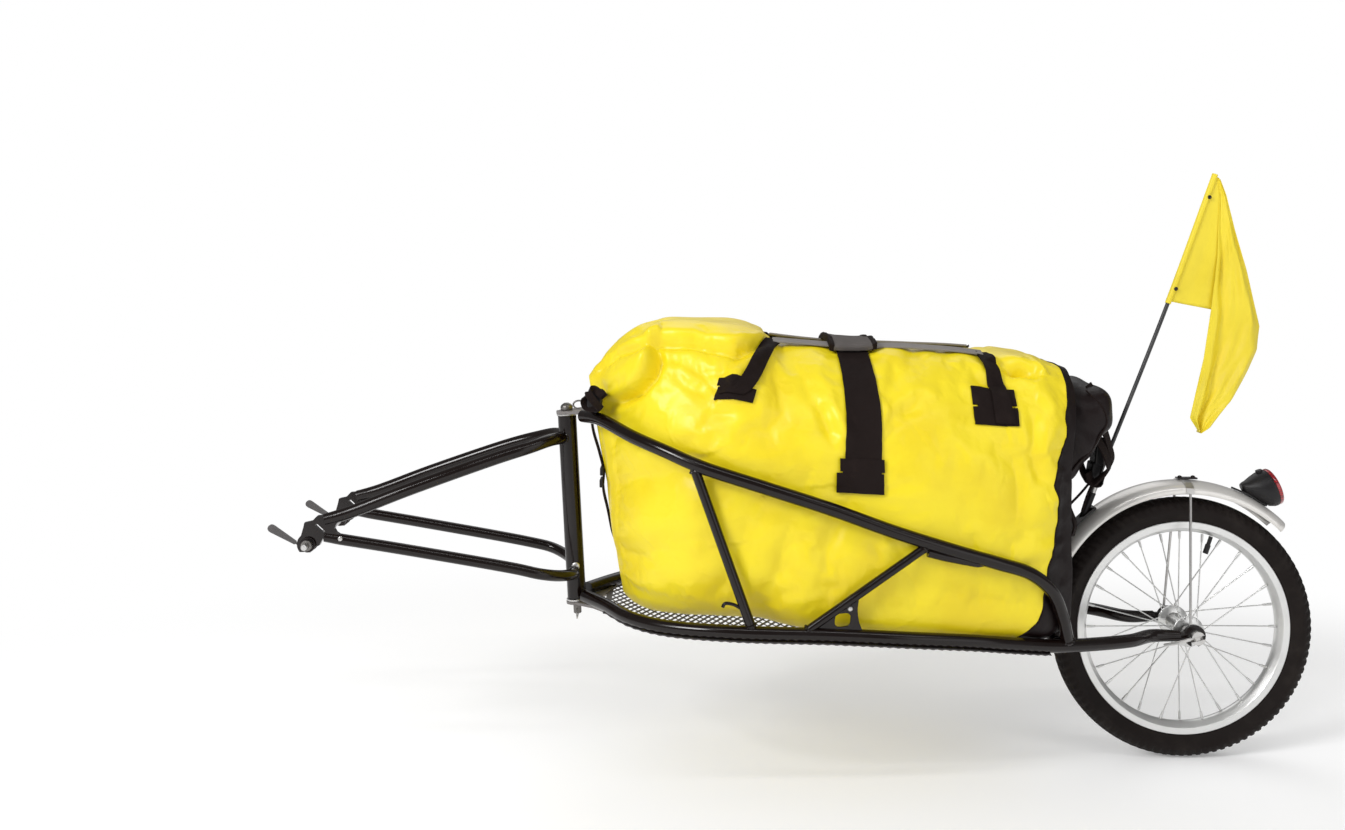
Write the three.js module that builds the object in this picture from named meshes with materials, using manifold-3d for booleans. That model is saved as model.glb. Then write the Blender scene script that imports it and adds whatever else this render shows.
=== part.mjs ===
import * as THREE from 'three';
import { mergeVertices } from 'three/addons/utils/BufferGeometryUtils.js';
import Module from 'manifold-3d';

// Single wheel touring trailer for a bicycle.
// Millimetres, +Z up. The origin is the centre of the hitch axle,
// +X runs back to the trailer wheel and +Y to the trailer's right side.

const wasm = await Module();
wasm.setup();

// Fits between neighbouring pieces
const SEAT_GAP = 0.3;
const SOFT_GAP = 1.2;
const CUT_OVERRUN = 4;

// Wheelbase
const AXLE_BACK = 1297;
const AXLE_DROP = 145;

// Hitch fork
const HITCH_HALF_WIDTH = 92;
const UPPER_LEG_RADIUS = 9.3;
const LOWER_LEG_DROP = 62;
const LOWER_LEG_RADIUS = 8.2;
const LEG_OVERLAP = 22;

// Hitch dropouts
const HITCH_PLATE_THICKNESS = 8;
const HITCH_PLATE_BACK = 45;
const HITCH_PLATE_RISE = 41;
const HOOK_RADIUS = 16.5;
const HOOK_DROP = 11;
const HITCH_SLIT_RADIUS = 2;

// Hitch axle
const HITCH_AXLE_RADIUS = 4.2;
const BOBBIN_GROOVE_RADIUS = 6.3;
const BOBBIN_COLLAR_RADIUS = 11;
const BOBBIN_END_RADIUS = 9;
const BOBBIN_COLLAR_WIDTH = 3.5;
const BOBBIN_BARREL_WIDTH = 12;
const HITCH_NUT_RADIUS = 8;
const HITCH_NUT_WIDTH = 7;
const HITCH_AXLE_STUB = 3;

// Hitch pins
const HITCH_PIN_RADIUS = 1.7;
const HITCH_PIN_REACH = 8;
const HITCH_PIN_HANDLE_LENGTH = 46;
const HITCH_PIN_HANDLE_WIDTH = 11;
const HITCH_PIN_NECK_WIDTH = 5;
const HITCH_PIN_HANDLE_THICKNESS = 4;
const HITCH_PIN_PITCH = THREE.MathUtils.degToRad(31);

// Steering head
const HEAD_BACK = 372.4;
const HEAD_LEAN = THREE.MathUtils.degToRad(3.1);
const STEER_TUBE_LENGTH = 277;
const STEER_TUBE_FOOT_DROP = 101.9;
const HEAD_RISE = STEER_TUBE_LENGTH / 2 - STEER_TUBE_FOOT_DROP;
const HEAD_TOP_RISE = HEAD_RISE + STEER_TUBE_LENGTH / 2;
const UPPER_LEG_DEPTH = 33.1;
const UPPER_LEG_RISE = HEAD_TOP_RISE - UPPER_LEG_DEPTH;
const STEER_TUBE_RADIUS = 14;
const STEER_TUBE_BORE_RADIUS = 11;
const BUSHING_FLANGE_RADIUS = 15.5;
const BUSHING_FLANGE_WIDTH = 3;
const BUSHING_DEPTH = 20;
const KINGPIN_RADIUS = 6;
const KINGPIN_HEAD_RADIUS = 9;
const KINGPIN_HEAD_HEIGHT = 11;
const KINGPIN_TAIL = 16;
const KINGPIN_CHAMFER = 1;
const CLIP_WIRE_RADIUS = 1;
const CLIP_DROP = 12;
const CLIP_LENGTH = 34;
const HEAD_PLATE_THICKNESS = 4;
const HEAD_PLATE_NOSE_RADIUS = 16;

// Cargo bay tubes
const BAY_HALF_WIDTH = 200;
const LOWER_RAIL_RADIUS = 9.5;
const UPPER_RAIL_RADIUS = 9.3;
const UPPER_RAIL_LIFT = 2.9;
const UPPER_RAIL_RISE = HEAD_TOP_RISE + UPPER_RAIL_LIFT;
const REAR_CORNER_BACK = 1088;
const REAR_CORNER_DROP = 137;
const FRONT_STRUT_RADIUS = 7;
const FRONT_STRUT_TOP_BACK = 554;
const FRONT_STRUT_FOOT_BACK = 636;
const REAR_STRUT_RADIUS = 6;
const REAR_STRUT_TOP_BACK = 878;
const REAR_STRUT_FOOT_BACK = 702;
const GUSSET_THICKNESS = 4;
const GUSSET_BACK = 781;
const GUSSET_HOLE_BACK = 757;
const GUSSET_HOLE_RADIUS = 7;
const CROSSBAR_BACK = 1075;
const CROSSBAR_RADIUS = 8;

// Floor of expanded mesh
const FLOOR_THICKNESS = 2;
const FLOOR_FRONT = 424;
const FLOOR_REAR = 1058;
const FLOOR_TOOTH = 4;
const FLOOR_LIP = 3;
const FLOOR_RIM = 8;
const DIAMOND_LENGTH = 70;
const DIAMOND_WIDTH = 46;
const DIAMOND_STRAND = 6;

// Wheel
const TYRE_RADIUS = 196;
const TYRE_HALF_WIDTH = 22;
const TREAD_HEIGHT = 1.6;
const RIM_FLANGE_RADIUS = 161;
const RIM_FLANGE_WIDTH = 2.2;
const RIM_HALF_WIDTH = 13.5;
const RIM_BED_RADIUS = 154.5;
const RIM_INNER_RADIUS = 144;
const RIM_INNER_HALF_WIDTH = 7;
const HUB_HALF_WIDTH = 48;
const HUB_SHELL_RADIUS = 11;
const HUB_END_RADIUS = 9;
const HUB_FLANGE_RADIUS = 23;
const HUB_FLANGE_OUT = 31;
const HUB_FLANGE_WIDTH = 3;
const SPOKE_RADIUS = 1;
const SPOKE_RIM_OUT = 3;
const VALVE_RADIUS = 3;
const VALVE_CAP_RADIUS = 4;
const VALVE_LENGTH = 27;
const VALVE_CAP_LENGTH = 14;
const WHEEL_AXLE_RADIUS = 4.7;

// Rear dropouts and quick release
const REAR_PLATE_THICKNESS = 6;
const REAR_PLATE_RADIUS = 16;
const REAR_PLATE_LENGTH = 50;
const REAR_PLATE_NECK = 6;
const RELEASE_HEAD_RADIUS = 10;
const RELEASE_HEAD_WIDTH = 13;
const RELEASE_SLOT_WIDTH = 6;
const RELEASE_PIVOT_RADIUS = 2;
const RELEASE_BARREL_RADIUS = 5.5;
const RELEASE_LEVER_LENGTH = 50;
const RELEASE_LEVER_RADIUS = 2.6;
const RELEASE_LEVER_PITCH = THREE.MathUtils.degToRad(13);
const RELEASE_NUT_RADIUS = 9;
const RELEASE_NUT_WIDTH = 8;

// Fender
const FENDER_CLEARANCE = 10;
const FENDER_CROWN = 16;
const FENDER_LIP_RADIUS = TYRE_RADIUS + FENDER_CLEARANCE;
const FENDER_RADIUS = FENDER_LIP_RADIUS + FENDER_CROWN;
const FENDER_HALF_WIDTH = 28;
const FENDER_THICKNESS = 1.8;
const FENDER_REAR_ANGLE = THREE.MathUtils.degToRad(46);
const FENDER_FRONT_ANGLE = THREE.MathUtils.degToRad(150);
const FENDER_CLIP_ANGLE = THREE.MathUtils.degToRad(89);
const FENDER_CLIP_WIDTH = 12;
const FENDER_CLIP_THICKNESS = 2.2;
const FENDER_STAY_RADIUS = 2;
const FENDER_BRACKET_WIDTH = 22;
const FENDER_BRACKET_THICKNESS = 3;
const FENDER_BRACKET_TOP_ANGLE = THREE.MathUtils.degToRad(126);
const FENDER_BRACKET_END_ANGLE = THREE.MathUtils.degToRad(152);

// Tail light
const LIGHT_OUT = 35.1;
const LIGHT_ANGLE = THREE.MathUtils.degToRad(55.94);
const LIGHT_BACK = AXLE_BACK + (FENDER_RADIUS + LIGHT_OUT) * Math.cos(LIGHT_ANGLE);
const LIGHT_RISE = (FENDER_RADIUS + LIGHT_OUT) * Math.sin(LIGHT_ANGLE) - AXLE_DROP;
const LIGHT_TILT = THREE.MathUtils.degToRad(20);
const LIGHT_RADIUS = 28;
const LIGHT_TIP_RADIUS = 7;
const LIGHT_TIP_RISE = 14;
const LIGHT_DEPTH = 49;
const LENS_THICKNESS = 8;
const LENS_DOME = 3;
const LIGHT_BUTTON_RADIUS = 5;
const LIGHT_BUTTON_HEIGHT = 3;
const LIGHT_BUTTON_FORWARD = 16;
const LIGHT_BUTTON_TRAVEL = 1.2;
const LIGHT_BRACKET_REAR_ANGLE = THREE.MathUtils.degToRad(55);
const LIGHT_BRACKET_FRONT_ANGLE = THREE.MathUtils.degToRad(69);
const LIGHT_BRACKET_WIDTH = 14;
const LIGHT_BRACKET_THICKNESS = 3;

// Flag
const POLE_RADIUS = 3;
const POLE_FOOT_OUT = 2.84;
const POLE_FOOT_ANGLE = THREE.MathUtils.degToRad(130.49);
const POLE_FOOT_BACK = AXLE_BACK + (FENDER_RADIUS + POLE_FOOT_OUT) * Math.cos(POLE_FOOT_ANGLE);
const POLE_FOOT_RISE = (FENDER_RADIUS + POLE_FOOT_OUT) * Math.sin(POLE_FOOT_ANGLE) - AXLE_DROP;
const POLE_BEND_BACK = 1278;
const POLE_BEND_RISE = 345;
const POLE_TOP_BACK = 1350;
const POLE_TOP_RISE = 541;
const SOCKET_RADIUS = 5.5;
const SOCKET_LENGTH = 34;
const FLAG_THICKNESS = 2;
const FLAG_TOP_BACK = 1418;
const FLAG_TIP_RISE = 150;
const FLAG_NOTCH_BACK = 1345;
const FLAG_FOLD = 9;

// Bag
const BAG_FRONT = 408;
const BAG_REAR = 1082;
const BAG_HALF_WIDTH = 184;
const BAG_TOP_RISE = 318;
const BAG_CAP_LENGTH = 100;
const BAG_CAP_HALF_WIDTH = 108;
const BAG_CAP_RISE = 238;
const STRAP_THICKNESS = 2.4;
const CENTRE_STRAP_BACK = 787;
const CENTRE_STRAP_WIDTH = 48;
const CENTRE_STRAP_THICKNESS = 7;
const HANDLE_FRONT = 613;
const HANDLE_REAR = 971;
const HANDLE_WIDTH = 34;
const HANDLE_THICKNESS = 3;
const FRONT_STRAP_WIDTH = 24;
const FRONT_STRAP_REACH_SHARE = 1.3;

// Finishes
const BLACK_PAINT = { color: 0x141214, roughness: 0.35, metalness: 0.2 };
const BLACK_PLASTIC = { color: 0x1b191b, roughness: 0.55, metalness: 0 };
const SILVER = { color: 0xc9c8c6, roughness: 0.35, metalness: 0.9 };
const STEEL = { color: 0xa9a8a5, roughness: 0.3, metalness: 0.9 };
const TYRE_RUBBER = { color: 0x1d1a1b, roughness: 0.85, metalness: 0 };
const YELLOW_FABRIC = { color: 0xf2dc14, roughness: 0.5, metalness: 0 };
const BLACK_FABRIC = { color: 0x19171c, roughness: 0.75, metalness: 0 };
const RED_LENS = { color: 0x9c1028, roughness: 0.2, metalness: 0 };
const POLE_GREY = { color: 0x3a3a3c, roughness: 0.4, metalness: 0.1 };

// Turns a closed geometry into a solid that can be cut and joined.
function solidOf(geometry) {
  const bare = geometry.clone();
  bare.deleteAttribute('normal');
  bare.deleteAttribute('uv');
  const merged = mergeVertices(bare);
  const vertProperties = new Float32Array(merged.attributes.position.array);
  const triVerts = new Uint32Array(merged.index.array);
  const solid = new wasm.Manifold(new wasm.Mesh({ numProp: 3, vertProperties, triVerts }));
  if (solid.volume() > 0) {
    return solid;
  }
  return new wasm.Manifold(new wasm.Mesh({ numProp: 3, vertProperties, triVerts: triVerts.reverse() }));
}

// Turns a solid back into a geometry with flat faces.
function geometryOf(solid) {
  const { vertProperties, triVerts, numProp } = solid.getMesh();
  const geometry = new THREE.BufferGeometry();
  const corners = [];
  for (const vertex of triVerts) {
    corners.push(...vertProperties.slice(vertex * numProp, vertex * numProp + 3));
  }
  geometry.setAttribute('position', new THREE.Float32BufferAttribute(corners, 3));
  geometry.computeVertexNormals();
  return geometry;
}

function joined(first, ...others) {
  return geometryOf(others.reduce((solid, other) => solid.add(solidOf(other)), solidOf(first)));
}

function cut(geometry, ...cutters) {
  return geometryOf(cutters.reduce((solid, cutter) => solid.subtract(solidOf(cutter)), solidOf(geometry)));
}

function common(first, second) {
  return geometryOf(solidOf(first).intersect(solidOf(second)));
}

function piece(name, geometry, finish) {
  const mesh = new THREE.Mesh(geometry, new THREE.MeshStandardMaterial(finish));
  mesh.name = name;
  return mesh;
}

// A round tube, solid inside, along a curve.
function sweep(path, radius, steps, sides = 10) {
  const section = new THREE.Shape().absarc(0, 0, radius, 0, 2 * Math.PI);
  const curveSegments = sides / 2;
  return new THREE.ExtrudeGeometry(section, { steps, curveSegments, bevelEnabled: false, extrudePath: path });
}

function rod(from, to, radius, sides = 12) {
  const length = from.distanceTo(to);
  const geometry = new THREE.CylinderGeometry(radius, radius, length, sides);
  const direction = to.clone().sub(from).normalize();
  const turn = new THREE.Quaternion().setFromUnitVectors(new THREE.Vector3(0, 1, 0), direction);
  geometry.applyQuaternion(turn);
  const middle = from.clone().add(to).multiplyScalar(0.5);
  return geometry.translate(middle.x, middle.y, middle.z);
}

// A profile of radius and distance pairs turned about the Y axis, in either order.
function turned(profile, sides) {
  const points = profile.map(([radius, along]) => new THREE.Vector2(radius, along));
  if (THREE.ShapeUtils.area(points) < 0) {
    points.reverse();
  }
  return new THREE.LatheGeometry(points, sides);
}

// The same, turned about the Z axis.
function turnedUpright(profile, sides) {
  return turned(profile, sides).rotateX(Math.PI / 2);
}

// An outline in the side view, X and Z, given a thickness across Y.
function sidePlate(shape, thickness, middle, curveSegments = 12) {
  const geometry = new THREE.ExtrudeGeometry(shape, { depth: thickness, bevelEnabled: false, curveSegments });
  geometry.rotateX(Math.PI / 2);
  return geometry.translate(0, middle + thickness / 2, 0);
}

// A body through ring sections. place(row, angle, reach) gives the point of the
// ring at that angle, and with a reach of 0 the centre of an end face.
function loft(rows, sides, place) {
  const geometry = new THREE.CylinderGeometry(1, 1, 1, sides, rows - 1);
  const position = geometry.attributes.position;
  for (let index = 0; index < position.count; index += 1) {
    const row = Math.round((0.5 - position.getY(index)) * (rows - 1));
    const reach = Math.hypot(position.getX(index), position.getZ(index));
    const angle = Math.atan2(position.getX(index), position.getZ(index));
    const point = place(row, angle, Math.round(reach));
    position.setXYZ(index, point.x, point.y, point.z);
  }
  return geometryOf(solidOf(geometry));
}

// A curve through rows of shares, placed from a start by a span on each axis.
function curveThrough(rowShares, start, span, ...ends) {
  const points = rowShares.map(([along, out, up]) => new THREE.Vector3(
    start.x + along * span.x,
    start.y + out * span.y,
    start.z + up * span.z,
  ));
  return new THREE.CatmullRomCurve3([...points, ...ends], false, 'centripetal');
}

// The point of a rail at a distance behind the hitch axle.
function pointAtBack(path, back) {
  let low = 0;
  let high = 1;
  for (let round = 0; round < 40; round += 1) {
    const middle = (low + high) / 2;
    if (path.getPoint(middle).x < back) {
      low = middle;
    } else {
      high = middle;
    }
  }
  return path.getPoint((low + high) / 2);
}

function sideName(side) {
  return side < 0 ? 'left' : 'right';
}

const SIDES = [-1, 1];
const trailer = new THREE.Group();

// Rails
const lowerRailShares = [
  [0.024, 0.12, 0.648],
  [0.059, 0.35, 0.648],
  [0.099, 0.625, 0.669],
  [0.152, 0.825, 0.676],
  [0.254, 1, 0.662],
  [0.405, 1, 0.69],
  [0.52, 0.985, 0.73],
  [0.614, 0.91, 0.786],
  [0.69, 0.78, 0.87],
  [0.758, 0.65, 0.938],
  [0.884, 0.42, 0.985],
];

const upperRailShares = [
  [0.021, 0.18, 1],
  [0.05, 0.35, 0.999],
  [0.106, 0.65, 0.942],
  [0.156, 0.825, 0.894],
  [0.206, 0.935, 0.84],
  [0.303, 1, 0.753],
  [0.401, 1, 0.66],
  [0.498, 1, 0.558],
  [0.598, 0.98, 0.465],
  [0.65, 0.935, 0.417],
  [0.703, 0.86, 0.359],
  [0.738, 0.79, 0.27],
  [0.758, 0.72, 0.15],
];

const rearPlateMiddle = HUB_HALF_WIDTH + SEAT_GAP + REAR_PLATE_THICKNESS / 2;
const railTailBack = AXLE_BACK - REAR_PLATE_RADIUS - SEAT_GAP - REAR_PLATE_NECK;

function lowerRailPath(side) {
  const start = new THREE.Vector3(HEAD_BACK, 0, 0);
  const span = new THREE.Vector3(AXLE_BACK - HEAD_BACK, side * BAY_HALF_WIDTH, -AXLE_DROP);
  const slotFront = AXLE_BACK - REAR_PLATE_LENGTH - 2 * REAR_PLATE_NECK;
  const neck = new THREE.Vector3(slotFront, side * rearPlateMiddle, -AXLE_DROP);
  const tail = new THREE.Vector3(railTailBack, side * rearPlateMiddle, -AXLE_DROP);
  return curveThrough(lowerRailShares, start, span, neck, tail);
}

function upperRailPath(side) {
  const start = new THREE.Vector3(HEAD_BACK, 0, -REAR_CORNER_DROP);
  const height = UPPER_RAIL_RISE + REAR_CORNER_DROP;
  const span = new THREE.Vector3(AXLE_BACK - HEAD_BACK, side * BAY_HALF_WIDTH, height);
  return curveThrough(upperRailShares, start, span, pointAtBack(lowerRailPath(side), REAR_CORNER_BACK));
}

const RAIL_STEPS = 30;

function lowerRail(side, extra = 0) {
  return sweep(lowerRailPath(side), LOWER_RAIL_RADIUS + extra, RAIL_STEPS);
}

function upperRail(side, extra = 0) {
  return sweep(upperRailPath(side), UPPER_RAIL_RADIUS + extra, RAIL_STEPS);
}

function addRails() {
  for (const side of SIDES) {
    const slotFront = AXLE_BACK - REAR_PLATE_LENGTH - SEAT_GAP;
    const slotLength = REAR_PLATE_LENGTH;
    const slotWidth = REAR_PLATE_THICKNESS + 2 * SEAT_GAP;
    const slot = new THREE.BoxGeometry(slotLength, slotWidth, 4 * LOWER_RAIL_RADIUS);
    slot.translate(slotFront + slotLength / 2, side * rearPlateMiddle, -AXLE_DROP);
    trailer.add(piece(`lower_rail_${sideName(side)}`, cut(lowerRail(side), slot), BLACK_PAINT));
    const upper = cut(upperRail(side), lowerRail(side, SEAT_GAP));
    trailer.add(piece(`upper_rail_${sideName(side)}`, upper, BLACK_PAINT));
  }
}

// Struts between the rails, with a holed gusset at the foot of the rear one
function strut(side, topBack, footBack, radius, extra = 0) {
  const top = pointAtBack(upperRailPath(side), topBack);
  const foot = pointAtBack(lowerRailPath(side), footBack);
  return rod(top, foot, radius + extra);
}

function gussetOutline(side) {
  const top = pointAtBack(upperRailPath(side), REAR_STRUT_TOP_BACK);
  const foot = pointAtBack(lowerRailPath(side), REAR_STRUT_FOOT_BACK);
  const slope = (top.z - foot.z) / (top.x - foot.x);
  const rearTop = foot.z + slope * (GUSSET_BACK - foot.x);
  const shape = new THREE.Shape();
  shape.moveTo(foot.x, foot.z);
  shape.lineTo(GUSSET_BACK + REAR_STRUT_RADIUS, foot.z);
  shape.quadraticCurveTo(GUSSET_BACK - REAR_STRUT_RADIUS, (foot.z + rearTop) / 2, GUSSET_BACK, rearTop);
  shape.closePath();
  const railTop = foot.z + LOWER_RAIL_RADIUS;
  const strutDepth = REAR_STRUT_RADIUS * Math.hypot(1, slope);
  const strutUnderside = foot.z + slope * (GUSSET_HOLE_BACK - foot.x) - strutDepth;
  const hole = new THREE.Path();
  hole.absarc(GUSSET_HOLE_BACK, (railTop + strutUnderside) / 2, GUSSET_HOLE_RADIUS, 0, 2 * Math.PI);
  shape.holes.push(hole);
  return shape;
}

function addStruts() {
  for (const side of SIDES) {
    const upper = upperRail(side, SEAT_GAP);
    const lower = lowerRail(side, SEAT_GAP);
    const front = strut(side, FRONT_STRUT_TOP_BACK, FRONT_STRUT_FOOT_BACK, FRONT_STRUT_RADIUS);
    const rear = strut(side, REAR_STRUT_TOP_BACK, REAR_STRUT_FOOT_BACK, REAR_STRUT_RADIUS);
    const rearCutter = strut(side, REAR_STRUT_TOP_BACK, REAR_STRUT_FOOT_BACK, REAR_STRUT_RADIUS, SEAT_GAP);
    const middle = pointAtBack(lowerRailPath(side), GUSSET_HOLE_BACK).y;
    const gusset = sidePlate(gussetOutline(side), GUSSET_THICKNESS, middle, 8);
    trailer.add(piece(`front_strut_${sideName(side)}`, cut(front, upper, lower), BLACK_PAINT));
    trailer.add(piece(`rear_strut_${sideName(side)}`, cut(rear, upper, lower), BLACK_PAINT));
    trailer.add(piece(`strut_gusset_${sideName(side)}`, cut(gusset, rearCutter, lower), BLACK_PAINT));
  }
}

// Crossbar behind the bay
const crossbarPoint = pointAtBack(lowerRailPath(1), CROSSBAR_BACK);

function crossbar(extra = 0) {
  const left = crossbarPoint.clone().setY(-crossbarPoint.y);
  return rod(left, crossbarPoint, CROSSBAR_RADIUS + extra);
}

function addCrossbar() {
  const rails = SIDES.map((side) => lowerRail(side, SEAT_GAP));
  trailer.add(piece('rear_crossbar', cut(crossbar(), ...rails), BLACK_PAINT));
}

// Steering head. Its own frame has the kingpin along Z and the middle of the steer tube at 0.
const head = new THREE.Group();
head.position.set(HEAD_BACK, 0, HEAD_RISE);
head.rotation.y = -HEAD_LEAN;
head.updateMatrixWorld();

const steerTubeEnd = STEER_TUBE_LENGTH / 2;
const plateNear = steerTubeEnd + 2 * SEAT_GAP + BUSHING_FLANGE_WIDTH;
const plateFar = plateNear + HEAD_PLATE_THICKNESS;

function steerTube(extra = 0) {
  return turnedUpright([
    [STEER_TUBE_BORE_RADIUS, -steerTubeEnd],
    [STEER_TUBE_RADIUS + extra, -steerTubeEnd],
    [STEER_TUBE_RADIUS + extra, steerTubeEnd],
    [STEER_TUBE_BORE_RADIUS, steerTubeEnd],
    [STEER_TUBE_BORE_RADIUS, -steerTubeEnd],
  ], 16);
}

function steerTubeCutter() {
  const radius = STEER_TUBE_RADIUS + SEAT_GAP;
  const length = STEER_TUBE_LENGTH + 2 * CUT_OVERRUN;
  const geometry = new THREE.CylinderGeometry(radius, radius, length, 16).rotateX(Math.PI / 2);
  return geometry.applyMatrix4(head.matrixWorld);
}

function bushing(up) {
  const bore = KINGPIN_RADIUS + SEAT_GAP;
  const sleeve = STEER_TUBE_BORE_RADIUS - SEAT_GAP;
  const flangeNear = steerTubeEnd + SEAT_GAP;
  const flangeFar = flangeNear + BUSHING_FLANGE_WIDTH;
  const inner = steerTubeEnd - BUSHING_DEPTH;
  return turnedUpright([
    [bore, up * inner],
    [sleeve, up * inner],
    [sleeve, up * flangeNear],
    [BUSHING_FLANGE_RADIUS, up * flangeNear],
    [BUSHING_FLANGE_RADIUS, up * flangeFar],
    [bore, up * flangeFar],
    [bore, up * inner],
  ], 16);
}

function kingpin() {
  const headFoot = plateFar + SEAT_GAP;
  const headTop = headFoot + KINGPIN_HEAD_HEIGHT;
  const tail = -plateFar - KINGPIN_TAIL;
  const pin = turnedUpright([
    [0, tail],
    [KINGPIN_RADIUS - KINGPIN_CHAMFER, tail],
    [KINGPIN_RADIUS, tail + KINGPIN_CHAMFER],
    [KINGPIN_RADIUS, headFoot],
    [KINGPIN_HEAD_RADIUS, headFoot],
    [KINGPIN_HEAD_RADIUS, headTop - KINGPIN_HEAD_HEIGHT / 2],
    [KINGPIN_HEAD_RADIUS / 2, headTop],
    [0, headTop],
  ], 20);
  const crossHole = rod(
    new THREE.Vector3(0, -KINGPIN_RADIUS - CUT_OVERRUN, clipLevel),
    new THREE.Vector3(0, KINGPIN_RADIUS + CUT_OVERRUN, clipLevel),
    CLIP_WIRE_RADIUS + SEAT_GAP,
    8,
  );
  return cut(pin, crossHole);
}

// Spring clip through the cross hole of the kingpin
const clipLevel = -plateFar - KINGPIN_TAIL / 2;

function kingpinClip() {
  const reach = CLIP_LENGTH / 2;
  const low = clipLevel - CLIP_DROP;
  const path = new THREE.CatmullRomCurve3([
    new THREE.Vector3(0, reach, clipLevel),
    new THREE.Vector3(0, 0, clipLevel),
    new THREE.Vector3(0, -KINGPIN_RADIUS, clipLevel),
    new THREE.Vector3(0, -reach, clipLevel - CLIP_DROP / 3),
    new THREE.Vector3(0, -reach, low),
    new THREE.Vector3(0, -KINGPIN_RADIUS, low),
    new THREE.Vector3(0, reach / 2, low),
  ], false, 'centripetal');
  return sweep(path, CLIP_WIRE_RADIUS, 16, 6);
}

// Plate from the kingpin to the front ends of two rails, with a notch between them
const topPlateArmShares = [0.02, 0.05, 0.08];
const bottomPlateArmShares = [0.03, 0.06, 0.09, 0.12];
const headPlateNotchShare = 0.55;

function headPlateShape(railPath, armShares) {
  const toHead = head.matrixWorld.clone().invert();
  const arm = armShares.map((share) => railPath(1).getPoint(share).applyMatrix4(toHead));
  const last = arm[arm.length - 1];
  const shape = new THREE.Shape();
  shape.absarc(0, 0, HEAD_PLATE_NOSE_RADIUS, Math.PI / 2, -Math.PI / 2);
  for (const point of arm) {
    shape.lineTo(point.x, -point.y);
  }
  shape.lineTo(last.x * headPlateNotchShare, 0);
  for (const point of [...arm].reverse()) {
    shape.lineTo(point.x, point.y);
  }
  shape.closePath();
  return shape;
}

function headPlate(up, railPath, armShares, railCutters) {
  const toHead = head.matrixWorld.clone().invert();
  const shape = headPlateShape(railPath, armShares);
  const hole = new THREE.Path();
  hole.absarc(0, 0, KINGPIN_RADIUS + SEAT_GAP, 0, 2 * Math.PI);
  shape.holes.push(hole);
  const plate = new THREE.ExtrudeGeometry(shape, {
    depth: HEAD_PLATE_THICKNESS,
    bevelEnabled: false,
    curveSegments: 10,
  });
  plate.translate(0, 0, up > 0 ? plateNear : -plateFar);
  return cut(plate, ...railCutters.map((cutter) => cutter.applyMatrix4(toHead)));
}

function addHead() {
  const upperCutters = SIDES.map((side) => upperRail(side, SEAT_GAP));
  const lowerCutters = SIDES.map((side) => lowerRail(side, SEAT_GAP));
  head.add(piece('steer_tube', steerTube(), BLACK_PAINT));
  head.add(piece('bushing_top', bushing(1), STEEL));
  head.add(piece('bushing_bottom', bushing(-1), STEEL));
  head.add(piece('kingpin', kingpin(), BLACK_PLASTIC));
  head.add(piece('kingpin_clip', kingpinClip(), STEEL));
  const top = headPlate(1, upperRailPath, topPlateArmShares, upperCutters);
  const bottom = headPlate(-1, lowerRailPath, bottomPlateArmShares, lowerCutters);
  head.add(piece('head_plate_top', top, BLACK_PAINT));
  head.add(piece('head_plate_bottom', bottom, BLACK_PAINT));
  trailer.add(head);
}

// Fork legs, from the steer tube round the bicycle wheel to the hitch dropouts
const upperLegShares = [
  [0.975, 0, 0.993],
  [0.924, 0.38, 1],
  [0.845, 0.62, 0.945],
  [0.72, 0.76, 0.849],
  [0.387, 0.89, 0.546],
  [0.137, 0.965, 0.299],
];

const lowerLegShares = [
  [1.015, 0, -1],
  [1.005, 0.36, -0.97],
  [0.96, 0.72, -0.92],
  [0.894, 0.925, -0.86],
  [0.8, 0.945, -0.72],
  [0.35, 0.975, -0.13],
];

const hitchLegBack = HITCH_PLATE_BACK - LEG_OVERLAP;
const upperLegEndShare = 0.86;
const lowerLegEndShare = 0.25;

function legPath(legShares, rise, endRise, side) {
  const start = new THREE.Vector3(0, 0, 0);
  const span = new THREE.Vector3(HEAD_BACK, side * HITCH_HALF_WIDTH, rise);
  const end = new THREE.Vector3(hitchLegBack, side * HITCH_HALF_WIDTH, endRise);
  return curveThrough(legShares, start, span, end);
}

function addForkLegs() {
  for (const side of SIDES) {
    const slotLength = LEG_OVERLAP + CUT_OVERRUN + SEAT_GAP;
    const slotWidth = HITCH_PLATE_THICKNESS + 2 * SEAT_GAP;
    const slot = new THREE.BoxGeometry(slotLength, slotWidth, 2 * HITCH_HALF_WIDTH);
    slot.translate(HITCH_PLATE_BACK + SEAT_GAP - slotLength / 2, side * HITCH_HALF_WIDTH, 0);
    const upperPath = legPath(upperLegShares, UPPER_LEG_RISE, upperLegEndShare * HITCH_PLATE_RISE, side);
    const lowerPath = legPath(lowerLegShares, LOWER_LEG_DROP, lowerLegEndShare * HITCH_PLATE_RISE, side);
    const upper = sweep(upperPath, UPPER_LEG_RADIUS, 15);
    const lower = sweep(lowerPath, LOWER_LEG_RADIUS, 15);
    trailer.add(piece(`fork_leg_upper_${sideName(side)}`, cut(upper, slot, steerTubeCutter()), BLACK_PAINT));
    trailer.add(piece(`fork_leg_lower_${sideName(side)}`, cut(lower, slot, steerTubeCutter()), BLACK_PAINT));
  }
}

// Hitch dropouts: a hook over the bobbin, open below, in shares of the plate's back and rise
const dropoutTopShares = [
  [-0.16, 0.6],
  [-0.13, 0.76],
  [0.12, 0.82],
  [0.28, 1],
  [0.62, 1.03],
  [0.96, 0.98],
  [1, 0.84],
];

const dropoutBackShares = [
  [0.88, 0.68],
  [0.84, 0.54],
  [0.9, 0.42],
];

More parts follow.
